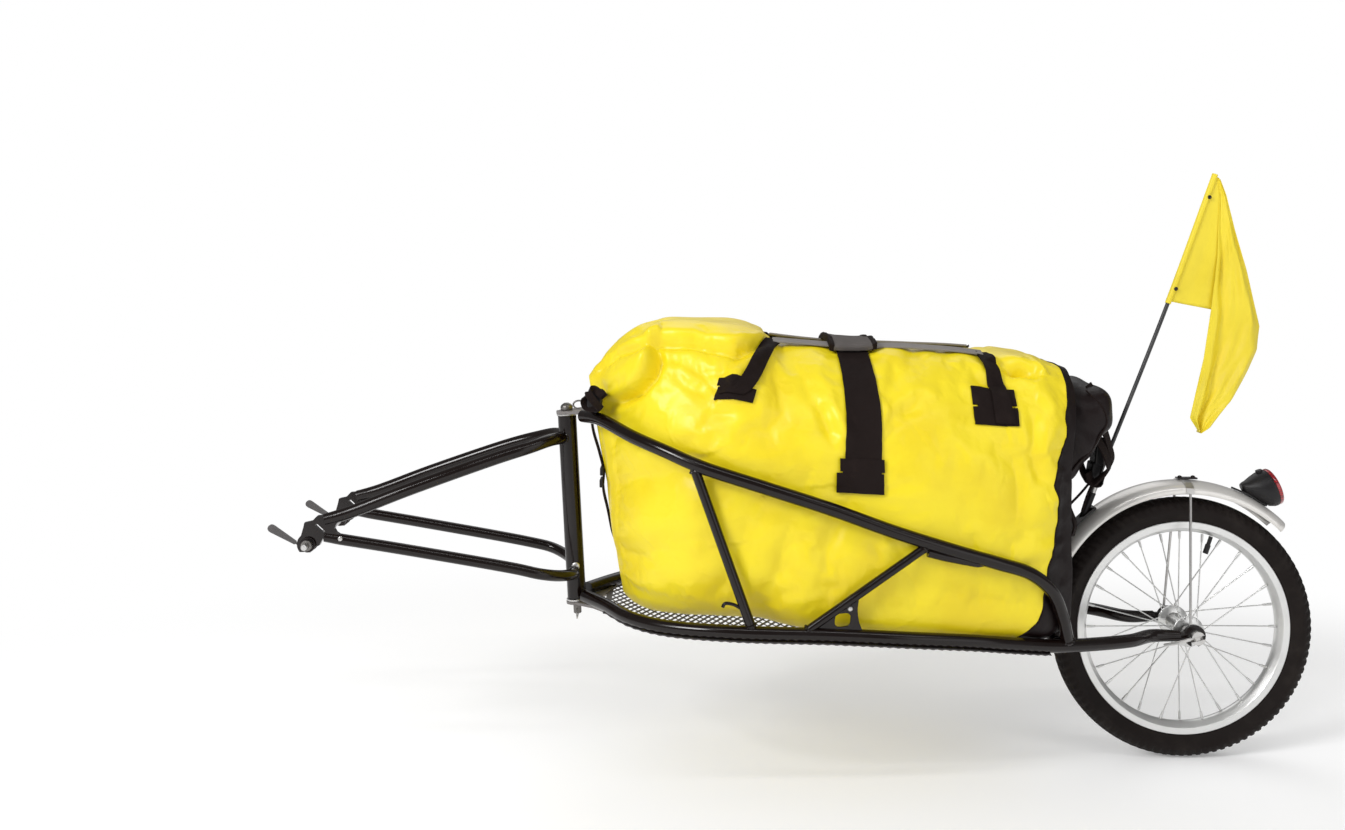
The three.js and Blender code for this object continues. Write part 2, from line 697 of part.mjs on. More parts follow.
const dropoutUnderShares = [
  [1, 0.35],
  [1, 0.14],
  [0.71, 0.13],
  [0.46, 0.2],
  [0.36, -0.03],
  [0.28, -0.07],
];

const hitchSlitShares = [
  [0.27, 0.67],
  [0.48, 0.46],
];

const hookFrontAngle = THREE.MathUtils.degToRad(130);
const slotHalfWidth = BOBBIN_GROOVE_RADIUS + SEAT_GAP;

function hitchPinLine(distance) {
  const offset = BOBBIN_GROOVE_RADIUS + 2 * SEAT_GAP + HITCH_PIN_RADIUS;
  return new THREE.Vector3(
    -offset * Math.sin(HITCH_PIN_PITCH) - distance * Math.cos(HITCH_PIN_PITCH),
    0,
    -offset * Math.cos(HITCH_PIN_PITCH) + distance * Math.sin(HITCH_PIN_PITCH),
  );
}

function hitchPlate(side) {
  const toPlate = ([along, up]) => new THREE.Vector2(along * HITCH_PLATE_BACK, up * HITCH_PLATE_RISE);
  const hookTipAngle = Math.PI + Math.asin(HOOK_DROP / HOOK_RADIUS);
  const shape = new THREE.Shape();
  shape.moveTo(slotHalfWidth, 0);
  shape.absarc(0, 0, slotHalfWidth, 0, Math.PI);
  shape.lineTo(-slotHalfWidth, -HOOK_DROP);
  shape.absarc(0, 0, HOOK_RADIUS, hookTipAngle, hookFrontAngle, true);
  for (const point of [...dropoutTopShares, ...dropoutBackShares, ...dropoutUnderShares].map(toPlate)) {
    shape.lineTo(point.x, point.y);
  }
  shape.closePath();
  const [slitFrom, slitTo] = hitchSlitShares.map(toPlate);
  const overrun = HITCH_PLATE_THICKNESS;
  const middle = side * HITCH_HALF_WIDTH;
  const slit = [slitFrom, slitTo].map((at) => {
    const from = new THREE.Vector3(at.x, middle - overrun, at.y);
    const to = new THREE.Vector3(at.x, middle + overrun, at.y);
    return rod(from, to, HITCH_SLIT_RADIUS, 12);
  });
  const slitLength = slitFrom.distanceTo(slitTo);
  const slitBox = new THREE.BoxGeometry(slitLength, 2 * overrun, 2 * HITCH_SLIT_RADIUS);
  slitBox.rotateY(-Math.atan2(slitTo.y - slitFrom.y, slitTo.x - slitFrom.x));
  slitBox.translate((slitFrom.x + slitTo.x) / 2, middle, (slitFrom.y + slitTo.y) / 2);
  const pinHole = rod(
    hitchPinLine(-HOOK_RADIUS).setY(middle),
    hitchPinLine(2 * HOOK_RADIUS).setY(middle),
    HITCH_PIN_RADIUS + SEAT_GAP,
    8,
  );
  return cut(sidePlate(shape, HITCH_PLATE_THICKNESS, middle, 6), slit[0], slit[1], slitBox, pinHole);
}

// Hitch pin: a shank through the hook and under the bobbin, with a flat handle
const pinHandleTaperShare = 0.85;

function hitchPin(side) {
  const middle = side * HITCH_HALF_WIDTH;
  const collar = HOOK_RADIUS - HITCH_PIN_RADIUS;
  const shank = rod(
    hitchPinLine(-HITCH_PIN_REACH).setY(middle),
    hitchPinLine(collar + HITCH_PIN_NECK_WIDTH).setY(middle),
    HITCH_PIN_RADIUS,
    8,
  );
  const taper = HITCH_PIN_HANDLE_LENGTH * pinHandleTaperShare;
  const shape = new THREE.Shape();
  shape.moveTo(0, -HITCH_PIN_NECK_WIDTH / 2);
  shape.lineTo(0, HITCH_PIN_NECK_WIDTH / 2);
  shape.lineTo(-taper, HITCH_PIN_HANDLE_WIDTH / 2);
  shape.quadraticCurveTo(-HITCH_PIN_HANDLE_LENGTH, HITCH_PIN_HANDLE_WIDTH / 2, -HITCH_PIN_HANDLE_LENGTH, 0);
  shape.quadraticCurveTo(
    -HITCH_PIN_HANDLE_LENGTH,
    -HITCH_PIN_HANDLE_WIDTH / 2,
    -taper,
    -HITCH_PIN_HANDLE_WIDTH / 2,
  );
  shape.closePath();
  const handle = sidePlate(shape, HITCH_PIN_HANDLE_THICKNESS, middle, 5).rotateY(HITCH_PIN_PITCH);
  const seat = hitchPinLine(collar + HITCH_PIN_NECK_WIDTH / 2);
  handle.translate(seat.x, 0, seat.z);
  return joined(shank, handle);
}

function bobbin(side) {
  const grooveNear = HITCH_HALF_WIDTH - HITCH_PLATE_THICKNESS / 2 - SEAT_GAP;
  const grooveFar = HITCH_HALF_WIDTH + HITCH_PLATE_THICKNESS / 2 + SEAT_GAP;
  const collarNear = grooveNear - BOBBIN_COLLAR_WIDTH;
  const barrelNear = collarNear - BOBBIN_BARREL_WIDTH;
  const bore = HITCH_AXLE_RADIUS + SEAT_GAP;
  return turned([
    [bore, side * barrelNear],
    [BOBBIN_END_RADIUS, side * barrelNear],
    [BOBBIN_END_RADIUS, side * collarNear],
    [BOBBIN_COLLAR_RADIUS, side * collarNear],
    [BOBBIN_COLLAR_RADIUS, side * grooveNear],
    [BOBBIN_GROOVE_RADIUS, side * grooveNear],
    [BOBBIN_GROOVE_RADIUS, side * grooveFar],
    [BOBBIN_END_RADIUS, side * grooveFar],
    [BOBBIN_END_RADIUS, side * bobbinEnd],
    [bore, side * bobbinEnd],
    [bore, side * barrelNear],
  ], 14);
}

const bobbinEnd = HITCH_HALF_WIDTH + HITCH_PLATE_THICKNESS / 2 + SEAT_GAP + BOBBIN_COLLAR_WIDTH;

function nut(side, from, width, radius, bore) {
  const near = side * (from + SEAT_GAP);
  const far = side * (from + SEAT_GAP + width);
  return turned([[bore, near], [radius, near], [radius, far], [bore, far], [bore, near]], 12);
}

function addHitch() {
  const axleEnd = bobbinEnd + SEAT_GAP + HITCH_NUT_WIDTH + HITCH_AXLE_STUB;
  const nearEnd = new THREE.Vector3(0, -axleEnd, 0);
  const axle = rod(nearEnd, new THREE.Vector3(0, axleEnd, 0), HITCH_AXLE_RADIUS, 16);
  trailer.add(piece('hitch_axle', axle, STEEL));
  for (const side of SIDES) {
    const hitchNut = nut(side, bobbinEnd, HITCH_NUT_WIDTH, HITCH_NUT_RADIUS, HITCH_AXLE_RADIUS + SEAT_GAP);
    trailer.add(piece(`hitch_dropout_${sideName(side)}`, hitchPlate(side), BLACK_PAINT));
    trailer.add(piece(`hitch_pin_${sideName(side)}`, hitchPin(side), STEEL));
    trailer.add(piece(`hitch_bobbin_${sideName(side)}`, bobbin(side), STEEL));
    trailer.add(piece(`hitch_nut_${sideName(side)}`, hitchNut, STEEL));
  }
}

// Floor: expanded mesh under the lower rails, with toothed edges
const floorRail = lowerRailPath(1);
const floorEdgeSteps = 36;

function floorTop(back) {
  return pointAtBack(floorRail, back).z - LOWER_RAIL_RADIUS - SEAT_GAP;
}

function floorHalfWidth(back) {
  return pointAtBack(floorRail, back).y + LOWER_RAIL_RADIUS + FLOOR_LIP;
}

function floorOutline() {
  const edge = [];
  for (let step = 0; step <= floorEdgeSteps; step += 1) {
    const back = FLOOR_FRONT + ((FLOOR_REAR - FLOOR_FRONT) * step) / floorEdgeSteps;
    const tooth = step % 2 === 0 ? 0 : FLOOR_TOOTH;
    edge.push(new THREE.Vector2(back, floorHalfWidth(back) - FLOOR_TOOTH / 2 + tooth));
  }
  const mirrored = edge.map((point) => new THREE.Vector2(point.x, -point.y)).reverse();
  return new THREE.Shape([...edge, ...mirrored]);
}

function floorDiamonds() {
  const holes = [];
  const columnPitch = DIAMOND_LENGTH / 2;
  const columns = Math.floor((FLOOR_REAR - FLOOR_FRONT - 2 * FLOOR_RIM) / columnPitch) - 1;
  const spare = FLOOR_REAR - FLOOR_FRONT - (columns - 1) * columnPitch;
  const halfLength = (DIAMOND_LENGTH - DIAMOND_STRAND * 2) / 2;
  const halfWidth = (DIAMOND_WIDTH - DIAMOND_STRAND) / 2;
  for (let column = 0; column < columns; column += 1) {
    const back = FLOOR_FRONT + spare / 2 + column * columnPitch;
    const room = (at) => floorHalfWidth(at) - FLOOR_RIM - 2 * LOWER_RAIL_RADIUS;
    const tipRoom = Math.min(room(back - halfLength), room(back + halfLength));
    const shift = (column % 2) * (DIAMOND_WIDTH / 2);
    const rows = Math.ceil(room(back) / DIAMOND_WIDTH);
    for (let row = -rows; row <= rows; row += 1) {
      const across = row * DIAMOND_WIDTH + shift;
      if (Math.abs(across) < tipRoom && Math.abs(across) + halfWidth < room(back)) {
        const hole = new THREE.Path();
        hole.moveTo(back - halfLength, across);
        hole.lineTo(back, across - halfWidth);
        hole.lineTo(back + halfLength, across);
        hole.lineTo(back, across + halfWidth);
        hole.closePath();
        holes.push(hole);
      }
    }
  }
  return holes;
}

function addFloor() {
  const shape = floorOutline();
  shape.holes.push(...floorDiamonds());
  const geometry = new THREE.ExtrudeGeometry(shape, { depth: FLOOR_THICKNESS, bevelEnabled: false });
  const position = geometry.attributes.position;
  for (let index = 0; index < position.count; index += 1) {
    const lift = floorTop(position.getX(index)) - FLOOR_THICKNESS;
    position.setZ(index, position.getZ(index) + lift);
  }
  const plates = [-1, 1].map((side) => lowerRail(side, SEAT_GAP));
  trailer.add(piece('floor_mesh', cut(geometry, ...plates, floorPlateCutter()), BLACK_PAINT));
}

// Room in the floor for the lower head plate: its outline, a gap wider all round
function floorPlateCutter() {
  const depth = HEAD_PLATE_THICKNESS + 2 * CUT_OVERRUN;
  const outline = headPlateShape(lowerRailPath, bottomPlateArmShares);
  const steps = [0, 1, -1, 2, -2];
  const copies = steps.flatMap((along) => steps.map((out) => [along, out])).map(([along, out]) => {
    const copy = new THREE.ExtrudeGeometry(outline, { depth, bevelEnabled: false });
    return copy.translate(along * SEAT_GAP, out * SEAT_GAP, -plateFar - CUT_OVERRUN);
  });
  return joined(...copies).applyMatrix4(head.matrixWorld);
}

addRails();
addStruts();
addCrossbar();
addHead();
addForkLegs();
addHitch();
addFloor();

// Wheel, in its own group about the trailer axle
const wheel = new THREE.Group();
wheel.position.set(AXLE_BACK, 0, -AXLE_DROP);

const TYRE_SIDES = 60;
const RIM_SIDES = 32;

const tyreShares = [
  [0, 0],
  [0.26, 0.8],
  [0.62, 1],
  [0.93, 0.6],
];
const treadFromShare = 0.9;

function tyre() {
  const beadHalfWidth = RIM_HALF_WIDTH - RIM_FLANGE_WIDTH - SEAT_GAP;
  const inner = RIM_BED_RADIUS + SEAT_GAP;
  const shoulder = RIM_FLANGE_RADIUS + 2 * SEAT_GAP;
  const height = TYRE_RADIUS - TREAD_HEIGHT - shoulder;
  const spread = TYRE_HALF_WIDTH - beadHalfWidth;
  const flank = tyreShares.map(([up, out]) => [shoulder + up * height, beadHalfWidth + out * spread]);
  flank[0][1] = beadHalfWidth;
  const near = [[inner, -beadHalfWidth], ...flank.map(([radius, out]) => [radius, -out])];
  const far = [...near].reverse().map(([radius, out]) => [radius, -out]);
  const crown = [TYRE_RADIUS - TREAD_HEIGHT, 0];
  const geometry = turned([...near, crown, ...far, near[0]], TYRE_SIDES);
  const position = geometry.attributes.position;
  const treadFrom = shoulder + treadFromShare * height;
  for (let index = 0; index < position.count; index += 1) {
    const x = position.getX(index);
    const z = position.getZ(index);
    const radius = Math.hypot(x, z);
    const sector = Math.round((Math.atan2(x, z) / (2 * Math.PI)) * TYRE_SIDES + TYRE_SIDES);
    const offset = position.getY(index) > 0 ? 1 : 0;
    if (radius > treadFrom && (sector + offset) % 2 === 0) {
      const stretch = (radius + TREAD_HEIGHT) / radius;
      position.setX(index, x * stretch);
      position.setZ(index, z * stretch);
    }
  }
  return geometry;
}

function rim() {
  const lip = RIM_HALF_WIDTH - RIM_FLANGE_WIDTH;
  const half = [
    [RIM_INNER_RADIUS, RIM_INNER_HALF_WIDTH],
    [RIM_BED_RADIUS - RIM_FLANGE_WIDTH, RIM_HALF_WIDTH],
    [RIM_FLANGE_RADIUS, RIM_HALF_WIDTH],
    [RIM_FLANGE_RADIUS, lip],
    [RIM_BED_RADIUS, lip],
  ];
  const mirrored = [...half].reverse().map(([radius, out]) => [radius, -out]);
  return turned([...half, ...mirrored, half[0]], RIM_SIDES);
}

// Hub shell with two flanges and the spokes, laced so that neighbours lean opposite ways
const SPOKES_PER_SIDE = 14;
const spokeLean = THREE.MathUtils.degToRad(24);

function hub() {
  const flangeIn = HUB_FLANGE_OUT - HUB_FLANGE_WIDTH;
  const half = [
    [HUB_SHELL_RADIUS, flangeIn - 2 * HUB_FLANGE_WIDTH],
    [HUB_FLANGE_RADIUS, flangeIn],
    [HUB_FLANGE_RADIUS, HUB_FLANGE_OUT],
    [HUB_SHELL_RADIUS, HUB_FLANGE_OUT + HUB_FLANGE_WIDTH],
    [HUB_END_RADIUS, HUB_HALF_WIDTH],
    [WHEEL_AXLE_RADIUS + SEAT_GAP, HUB_HALF_WIDTH],
  ];
  const mirrored = [...half].reverse().map(([radius, out]) => [radius, -out]);
  return turned([...mirrored, ...half, mirrored[0]], 16);
}

function spoke(side, index) {
  const turn = (2 * Math.PI * (index + (side > 0 ? 0.5 : 0))) / SPOKES_PER_SIDE;
  const lean = index % 2 === 0 ? spokeLean : -spokeLean;
  const hubRadius = HUB_FLANGE_RADIUS - 2 * HUB_FLANGE_WIDTH / 3;
  const rimRadius = RIM_INNER_RADIUS * Math.cos(Math.PI / RIM_SIDES) - SEAT_GAP;
  const hubOut = side * (HUB_FLANGE_OUT - HUB_FLANGE_WIDTH / 2);
  const hubTurn = turn + lean;
  const from = new THREE.Vector3(hubRadius * Math.cos(hubTurn), hubOut, hubRadius * Math.sin(hubTurn));
  const to = new THREE.Vector3(rimRadius * Math.cos(turn), side * SPOKE_RIM_OUT, rimRadius * Math.sin(turn));
  return rod(from, to, SPOKE_RADIUS, 4);
}

function hubWithSpokes() {
  const spokes = SIDES.flatMap((side) => (
    Array.from({ length: SPOKES_PER_SIDE }, (_, index) => spoke(side, index))
  ));
  return joined(hub(), ...spokes);
}

const valveAngle = THREE.MathUtils.degToRad(71);

function valveStem() {
  const stemEnd = -(VALVE_LENGTH - VALVE_CAP_LENGTH);
  const stem = turned([
    [0, -VALVE_LENGTH],
    [VALVE_CAP_RADIUS, -VALVE_LENGTH],
    [VALVE_CAP_RADIUS, stemEnd],
    [VALVE_RADIUS, stemEnd],
    [VALVE_RADIUS, 0],
    [0, 0],
  ], 10);
  const seat = RIM_INNER_RADIUS * Math.cos(Math.PI / RIM_SIDES) - SEAT_GAP;
  stem.rotateX(Math.PI / 2);
  stem.translate(0, 0, seat);
  return stem.rotateY(Math.PI / 2 - valveAngle);
}

function addWheel() {
  wheel.add(piece('tyre', tyre(), TYRE_RUBBER));
  wheel.add(piece('rim', rim(), SILVER));
  wheel.add(piece('hub_with_spokes', hubWithSpokes(), SILVER));
  wheel.add(piece('valve_stem', valveStem(), BLACK_PLASTIC));
}

// Rear dropouts, plates slotted into the rail tails, open below for the axle
function rearPlate(side) {
  const shape = new THREE.Shape();
  const axleHalf = WHEEL_AXLE_RADIUS + SEAT_GAP;
  const neckAngle = Math.PI - Math.asin(REAR_PLATE_NECK / REAR_PLATE_RADIUS);
  const slotAngle = Math.asin(axleHalf / REAR_PLATE_RADIUS);
  shape.absarc(0, 0, REAR_PLATE_RADIUS, -Math.PI / 2 + slotAngle, neckAngle);
  shape.lineTo(-REAR_PLATE_LENGTH, REAR_PLATE_NECK);
  shape.lineTo(-REAR_PLATE_LENGTH, -REAR_PLATE_NECK);
  shape.absarc(0, 0, REAR_PLATE_RADIUS, -neckAngle, -Math.PI / 2 - slotAngle);
  shape.lineTo(-axleHalf, 0);
  shape.absarc(0, 0, axleHalf, Math.PI, 0, true);
  shape.closePath();
  return sidePlate(shape, REAR_PLATE_THICKNESS, side * rearPlateMiddle, 8);
}

// Quick release: a slotted head on the axle, and a lever on a cross pin
const releaseHeadNear = rearPlateMiddle + REAR_PLATE_THICKNESS / 2 + SEAT_GAP;
const releasePivotOut = releaseHeadNear + RELEASE_HEAD_WIDTH - RELEASE_BARREL_RADIUS - SEAT_GAP;

function releaseAxle() {
  const farEnd = releaseHeadNear + SEAT_GAP + RELEASE_NUT_WIDTH;
  const headFar = releaseHeadNear + RELEASE_HEAD_WIDTH;
  const body = turned([
    [0, -headFar],
    [RELEASE_HEAD_RADIUS, -headFar],
    [RELEASE_HEAD_RADIUS, -releaseHeadNear],
    [WHEEL_AXLE_RADIUS, -releaseHeadNear],
    [WHEEL_AXLE_RADIUS, farEnd],
    [0, farEnd],
  ], 20);
  const slotDepth = 2 * (RELEASE_BARREL_RADIUS + SEAT_GAP);
  const slot = new THREE.BoxGeometry(4 * RELEASE_HEAD_RADIUS, slotDepth + CUT_OVERRUN, RELEASE_SLOT_WIDTH);
  slot.translate(0, -releasePivotOut + (slotDepth - CUT_OVERRUN) / 2 - RELEASE_BARREL_RADIUS - SEAT_GAP, 0);
  slot.rotateY(-RELEASE_LEVER_PITCH);
  const pinReach = RELEASE_HEAD_RADIUS + CUT_OVERRUN;
  const pinHole = rod(
    new THREE.Vector3(0, -releasePivotOut, -pinReach),
    new THREE.Vector3(0, -releasePivotOut, pinReach),
    RELEASE_PIVOT_RADIUS + SEAT_GAP,
    10,
  );
  pinHole.rotateY(-RELEASE_LEVER_PITCH);
  return cut(body, slot, pinHole);
}

function releaseLever() {
  const barrelHalf = RELEASE_SLOT_WIDTH / 2 - SEAT_GAP;
  const barrel = rod(
    new THREE.Vector3(0, -releasePivotOut, -barrelHalf),
    new THREE.Vector3(0, -releasePivotOut, barrelHalf),
    RELEASE_BARREL_RADIUS,
    14,
  );
  const pin = rod(
    new THREE.Vector3(0, -releasePivotOut, -RELEASE_HEAD_RADIUS + SEAT_GAP),
    new THREE.Vector3(0, -releasePivotOut, RELEASE_HEAD_RADIUS - SEAT_GAP),
    RELEASE_PIVOT_RADIUS,
    10,
  );
  const arm = new THREE.CatmullRomCurve3([
    new THREE.Vector3(0, -releasePivotOut, 0),
    new THREE.Vector3(-RELEASE_HEAD_RADIUS, -releasePivotOut, 0),
    new THREE.Vector3(-RELEASE_LEVER_LENGTH / 2, -releasePivotOut - RELEASE_LEVER_RADIUS, 0),
    new THREE.Vector3(-RELEASE_LEVER_LENGTH, -releasePivotOut, 0),
  ], false, 'centripetal');
  return joined(barrel, pin, sweep(arm, RELEASE_LEVER_RADIUS, 7, 8)).rotateY(-RELEASE_LEVER_PITCH);
}

function addAxle() {
  const bore = WHEEL_AXLE_RADIUS + SEAT_GAP;
  for (const side of SIDES) {
    wheel.add(piece(`rear_dropout_${sideName(side)}`, rearPlate(side), BLACK_PAINT));
  }
  wheel.add(piece('wheel_axle', releaseAxle(), STEEL));
  wheel.add(piece('wheel_release_lever', releaseLever(), STEEL));
  const axleNut = nut(1, releaseHeadNear, RELEASE_NUT_WIDTH - SEAT_GAP, RELEASE_NUT_RADIUS, bore);
  wheel.add(piece('wheel_axle_nut', axleNut, STEEL));
}

// Fender: a crowned channel turned about the axle and cut to its arc
const fenderCrownShares = [
  [1, 0],
  [0.93, 0.42],
  [0.64, 0.81],
  [0, 1],
];

const FENDER_SIDES = 60;

function fenderCrown(extra) {
  const height = FENDER_RADIUS - FENDER_LIP_RADIUS;
  return fenderCrownShares.map(([out, up]) => [
    FENDER_LIP_RADIUS + up * (height + extra),
    out * (FENDER_HALF_WIDTH + extra),
  ]);
}

function fenderRing(outerExtra, innerExtra, sides) {
  const outer = fenderCrown(outerExtra);
  const inner = fenderCrown(innerExtra);
  const flip = ([radius, out]) => [radius, -out];
  const overTop = [...outer, ...outer.slice(0, -1).reverse().map(flip)];
  const backUnder = [...inner.map(flip), ...inner.slice(0, -1).reverse()];
  return turned([...overTop, ...backUnder, overTop[0]], sides);
}

function arcBlock(fromAngle, toAngle, radius, halfWidth) {
  const shape = new THREE.Shape();
  const middle = (fromAngle + toAngle) / 2;
  shape.moveTo(0, 0);
  for (const angle of [fromAngle, middle, toAngle]) {
    shape.lineTo(radius * Math.cos(angle), radius * Math.sin(angle));
  }
  shape.closePath();
  return sidePlate(shape, 2 * halfWidth, 0);
}

function fender() {
  const block = arcBlock(FENDER_REAR_ANGLE, FENDER_FRONT_ANGLE, 2 * FENDER_RADIUS, 2 * FENDER_HALF_WIDTH);
  return common(fenderRing(0, -FENDER_THICKNESS, FENDER_SIDES), block);
}

function fenderClip() {
  const half = FENDER_CLIP_WIDTH / 2 / FENDER_RADIUS;
  const block = arcBlock(
    FENDER_CLIP_ANGLE - half,
    FENDER_CLIP_ANGLE + half,
    2 * FENDER_RADIUS,
    2 * FENDER_HALF_WIDTH,
  );
  return common(fenderRing(SEAT_GAP + FENDER_CLIP_THICKNESS, SEAT_GAP, FENDER_SIDES), block);
}

function fenderStay(side) {
  const clipFoot = new THREE.Vector3(
    FENDER_LIP_RADIUS * Math.cos(FENDER_CLIP_ANGLE),
    side * (FENDER_HALF_WIDTH + FENDER_CLIP_THICKNESS / 2),
    FENDER_LIP_RADIUS * Math.sin(FENDER_CLIP_ANGLE) - SEAT_GAP,
  );
  const footRise = REAR_PLATE_RADIUS + SEAT_GAP;
  const foot = new THREE.Vector3(-REAR_PLATE_RADIUS / 3, side * rearPlateMiddle, footRise);
  return rod(clipFoot, foot, FENDER_STAY_RADIUS, 8);
}

function addFender() {
  wheel.add(piece('fender', fender(), SILVER));
  wheel.add(piece('fender_clip', fenderClip(), STEEL));
  for (const side of SIDES) {
    wheel.add(piece(`fender_stay_${sideName(side)}`, fenderStay(side), STEEL));
  }
}

// Bracket from the crossbar up to the front of the fender
function fenderBracket() {
  const near = FENDER_RADIUS + SEAT_GAP;
  const far = near + FENDER_BRACKET_THICKNESS;
  const from = FENDER_BRACKET_TOP_ANGLE;
  const to = FENDER_BRACKET_END_ANGLE;
  const footX = crossbarPoint.x - AXLE_BACK;
  const footZ = crossbarPoint.z + AXLE_DROP;
  const shape = new THREE.Shape();
  shape.absarc(0, 0, far, from, to);
  shape.lineTo(footX - FENDER_BRACKET_THICKNESS / 2, footZ);
  shape.lineTo(footX + FENDER_BRACKET_THICKNESS / 2, footZ);
  shape.absarc(0, 0, near, to, from, true);
  shape.closePath();
  const bar = crossbar(SEAT_GAP).translate(-AXLE_BACK, 0, AXLE_DROP);
  return cut(sidePlate(shape, FENDER_BRACKET_WIDTH, 0), bar);
}

// Flag pole in its socket on the bracket
const poleFoot = new THREE.Vector3(POLE_FOOT_BACK, 0, POLE_FOOT_RISE);
const poleBend = new THREE.Vector3(POLE_BEND_BACK, 0, POLE_BEND_RISE);
const poleTop = new THREE.Vector3(POLE_TOP_BACK, 0, POLE_TOP_RISE);
const poleLine = poleBend.clone().sub(poleFoot).normalize();

function polePath() {
  const low = poleFoot.clone().lerp(poleBend, 1 / 3);
  const middle = poleFoot.clone().lerp(poleBend, 2 / 3);
  return new THREE.CatmullRomCurve3([poleFoot, low, middle, poleBend, poleTop], false, 'centripetal');
}

function bracketSurface(extra) {
  const radius = FENDER_RADIUS + SEAT_GAP + FENDER_BRACKET_THICKNESS + extra;
  const cylinder = new THREE.CylinderGeometry(radius, radius, FENDER_BRACKET_WIDTH, 96);
  return cylinder.translate(AXLE_BACK, 0, -AXLE_DROP);
}

function flagSocket() {
  const below = poleFoot.clone().addScaledVector(poleLine, -SOCKET_LENGTH);
  const above = poleFoot.clone().addScaledVector(poleLine, SOCKET_LENGTH);
  const outer = rod(below, above, SOCKET_RADIUS, 14);
  const over = above.clone().addScaledVector(poleLine, CUT_OVERRUN);
  const bore = rod(below, over, POLE_RADIUS + SEAT_GAP, 14);
  return cut(outer, bracketSurface(SEAT_GAP), bore);
}

// Flag: a pennant with a sleeve edge beside the pole and folds down its free side
const flagTopShare = 0.98;
const flagBottomShare = 0.66;
const flagSpread = 1.2;
const flagFolds = 3;
const flagRows = 6;

function flagCloth() {
  const path = polePath();
  const clear = POLE_RADIUS + SEAT_GAP;
  const tip = new THREE.Vector3(poleBend.x + (FLAG_TOP_BACK - poleBend.x) / 3, 0, FLAG_TIP_RISE);
  const free = new THREE.Vector3(FLAG_TOP_BACK, 0, poleBend.z - (poleBend.z - FLAG_TIP_RISE) / 4);
  const geometry = new THREE.BoxGeometry(1, 1, 1, flagRows, 1, flagRows);
  const position = geometry.attributes.position;
  for (let index = 0; index < position.count; index += 1) {
    const across = position.getX(index) + 0.5;
    const down = 0.5 - position.getZ(index);
    const poleSide = path.getPointAt(flagTopShare + (flagBottomShare - flagTopShare) * down);
    const freeSide = free.clone().lerp(tip, down);
    const point = poleSide.lerp(freeSide, across ** flagSpread);
    const notch = 2 * across * (1 - across) * down ** 2;
    point.x += notch * (FLAG_NOTCH_BACK - (poleBend.x + tip.x) / 2);
    point.z += notch * (poleBend.z - (poleBend.z + tip.z) / 2);
    const fold = FLAG_FOLD * Math.sin(across * flagFolds * Math.PI) * across;
    const thick = position.getY(index) * FLAG_THICKNESS;
    position.setXYZ(index, point.x + clear * (1 - across), fold + thick, point.z);
  }
  return geometry;
}

function addFlag() {
  const bracket = fenderBracket();
  wheel.add(piece('fender_bracket', bracket, BLACK_PAINT));
  trailer.add(piece('flag_socket', flagSocket(), BLACK_PLASTIC));
  const pole = cut(sweep(polePath(), POLE_RADIUS, 14, 8), bracketSurface(SEAT_GAP));
  trailer.add(piece('flag_pole', pole, POLE_GREY));
  trailer.add(piece('flag_cloth', flagCloth(), YELLOW_FABRIC));
}

// Tail light, in its own group with the lens axis along X
const light = new THREE.Group();
light.position.set(LIGHT_BACK, 0, LIGHT_RISE);
light.rotation.y = -LIGHT_TILT;
light.updateMatrixWorld();

const housingShares = [
  [0, 1, 0],
  [0.3, 0.94, 0.05],
  [0.75, 0.5, 0.6],
  [1, 0, 1],
];

function lightHousing() {
  const back = -LENS_THICKNESS - SEAT_GAP;
  return loft(housingShares.length, 20, (row, angle, reach) => {
    const [forward, width, lift] = housingShares[row];
    const radius = LIGHT_TIP_RADIUS + width * (LIGHT_RADIUS - LIGHT_TIP_RADIUS);
    return new THREE.Vector3(
      back - forward * (LIGHT_DEPTH + back),
      reach * radius * Math.cos(angle),
      lift * LIGHT_TIP_RISE + reach * radius * Math.sin(angle),
    );
  });
}

const lensEdgeShare = 0.8;

function lightLens() {
  const lens = turned([
    [0, -LENS_THICKNESS],
    [LIGHT_RADIUS, -LENS_THICKNESS],
    [LIGHT_RADIUS, -LENS_DOME],
    [LIGHT_RADIUS * lensEdgeShare, -LENS_DOME / 4],
    [0, 0],
  ], 24);
  return lens.rotateZ(-Math.PI / 2);
}

function lightButtonSeat() {
  const rise = LIGHT_RADIUS - SEAT_GAP;
  return new THREE.Vector3(-LIGHT_BUTTON_FORWARD, 0, rise);
}

function lightButton(extra, height, depth) {
  const seat = lightButtonSeat();
  const radius = LIGHT_BUTTON_RADIUS + extra;
  const button = new THREE.CylinderGeometry(radius, radius, height, 14).rotateX(Math.PI / 2);
  return button.translate(seat.x, 0, seat.z - depth + height / 2);
}

function lightBracket() {
  const near = FENDER_RADIUS + SEAT_GAP;
  const far = near + LIGHT_BRACKET_THICKNESS;
  const shape = new THREE.Shape();
  shape.absarc(0, 0, far, LIGHT_BRACKET_REAR_ANGLE, LIGHT_BRACKET_FRONT_ANGLE);
  shape.absarc(0, 0, near, LIGHT_BRACKET_FRONT_ANGLE, LIGHT_BRACKET_REAR_ANGLE, true);
  shape.closePath();
  return sidePlate(shape, LIGHT_BRACKET_WIDTH, 0);
}

// Everything within the bracket's outer face, for the housing to sit on
function lightSaddle() {
  const radius = FENDER_RADIUS + 2 * SEAT_GAP + LIGHT_BRACKET_THICKNESS;
  const disc = new THREE.CylinderGeometry(radius, radius, 4 * LIGHT_RADIUS, 144);
  disc.translate(AXLE_BACK, 0, -AXLE_DROP);
  return disc.applyMatrix4(light.matrixWorld.clone().invert());
}

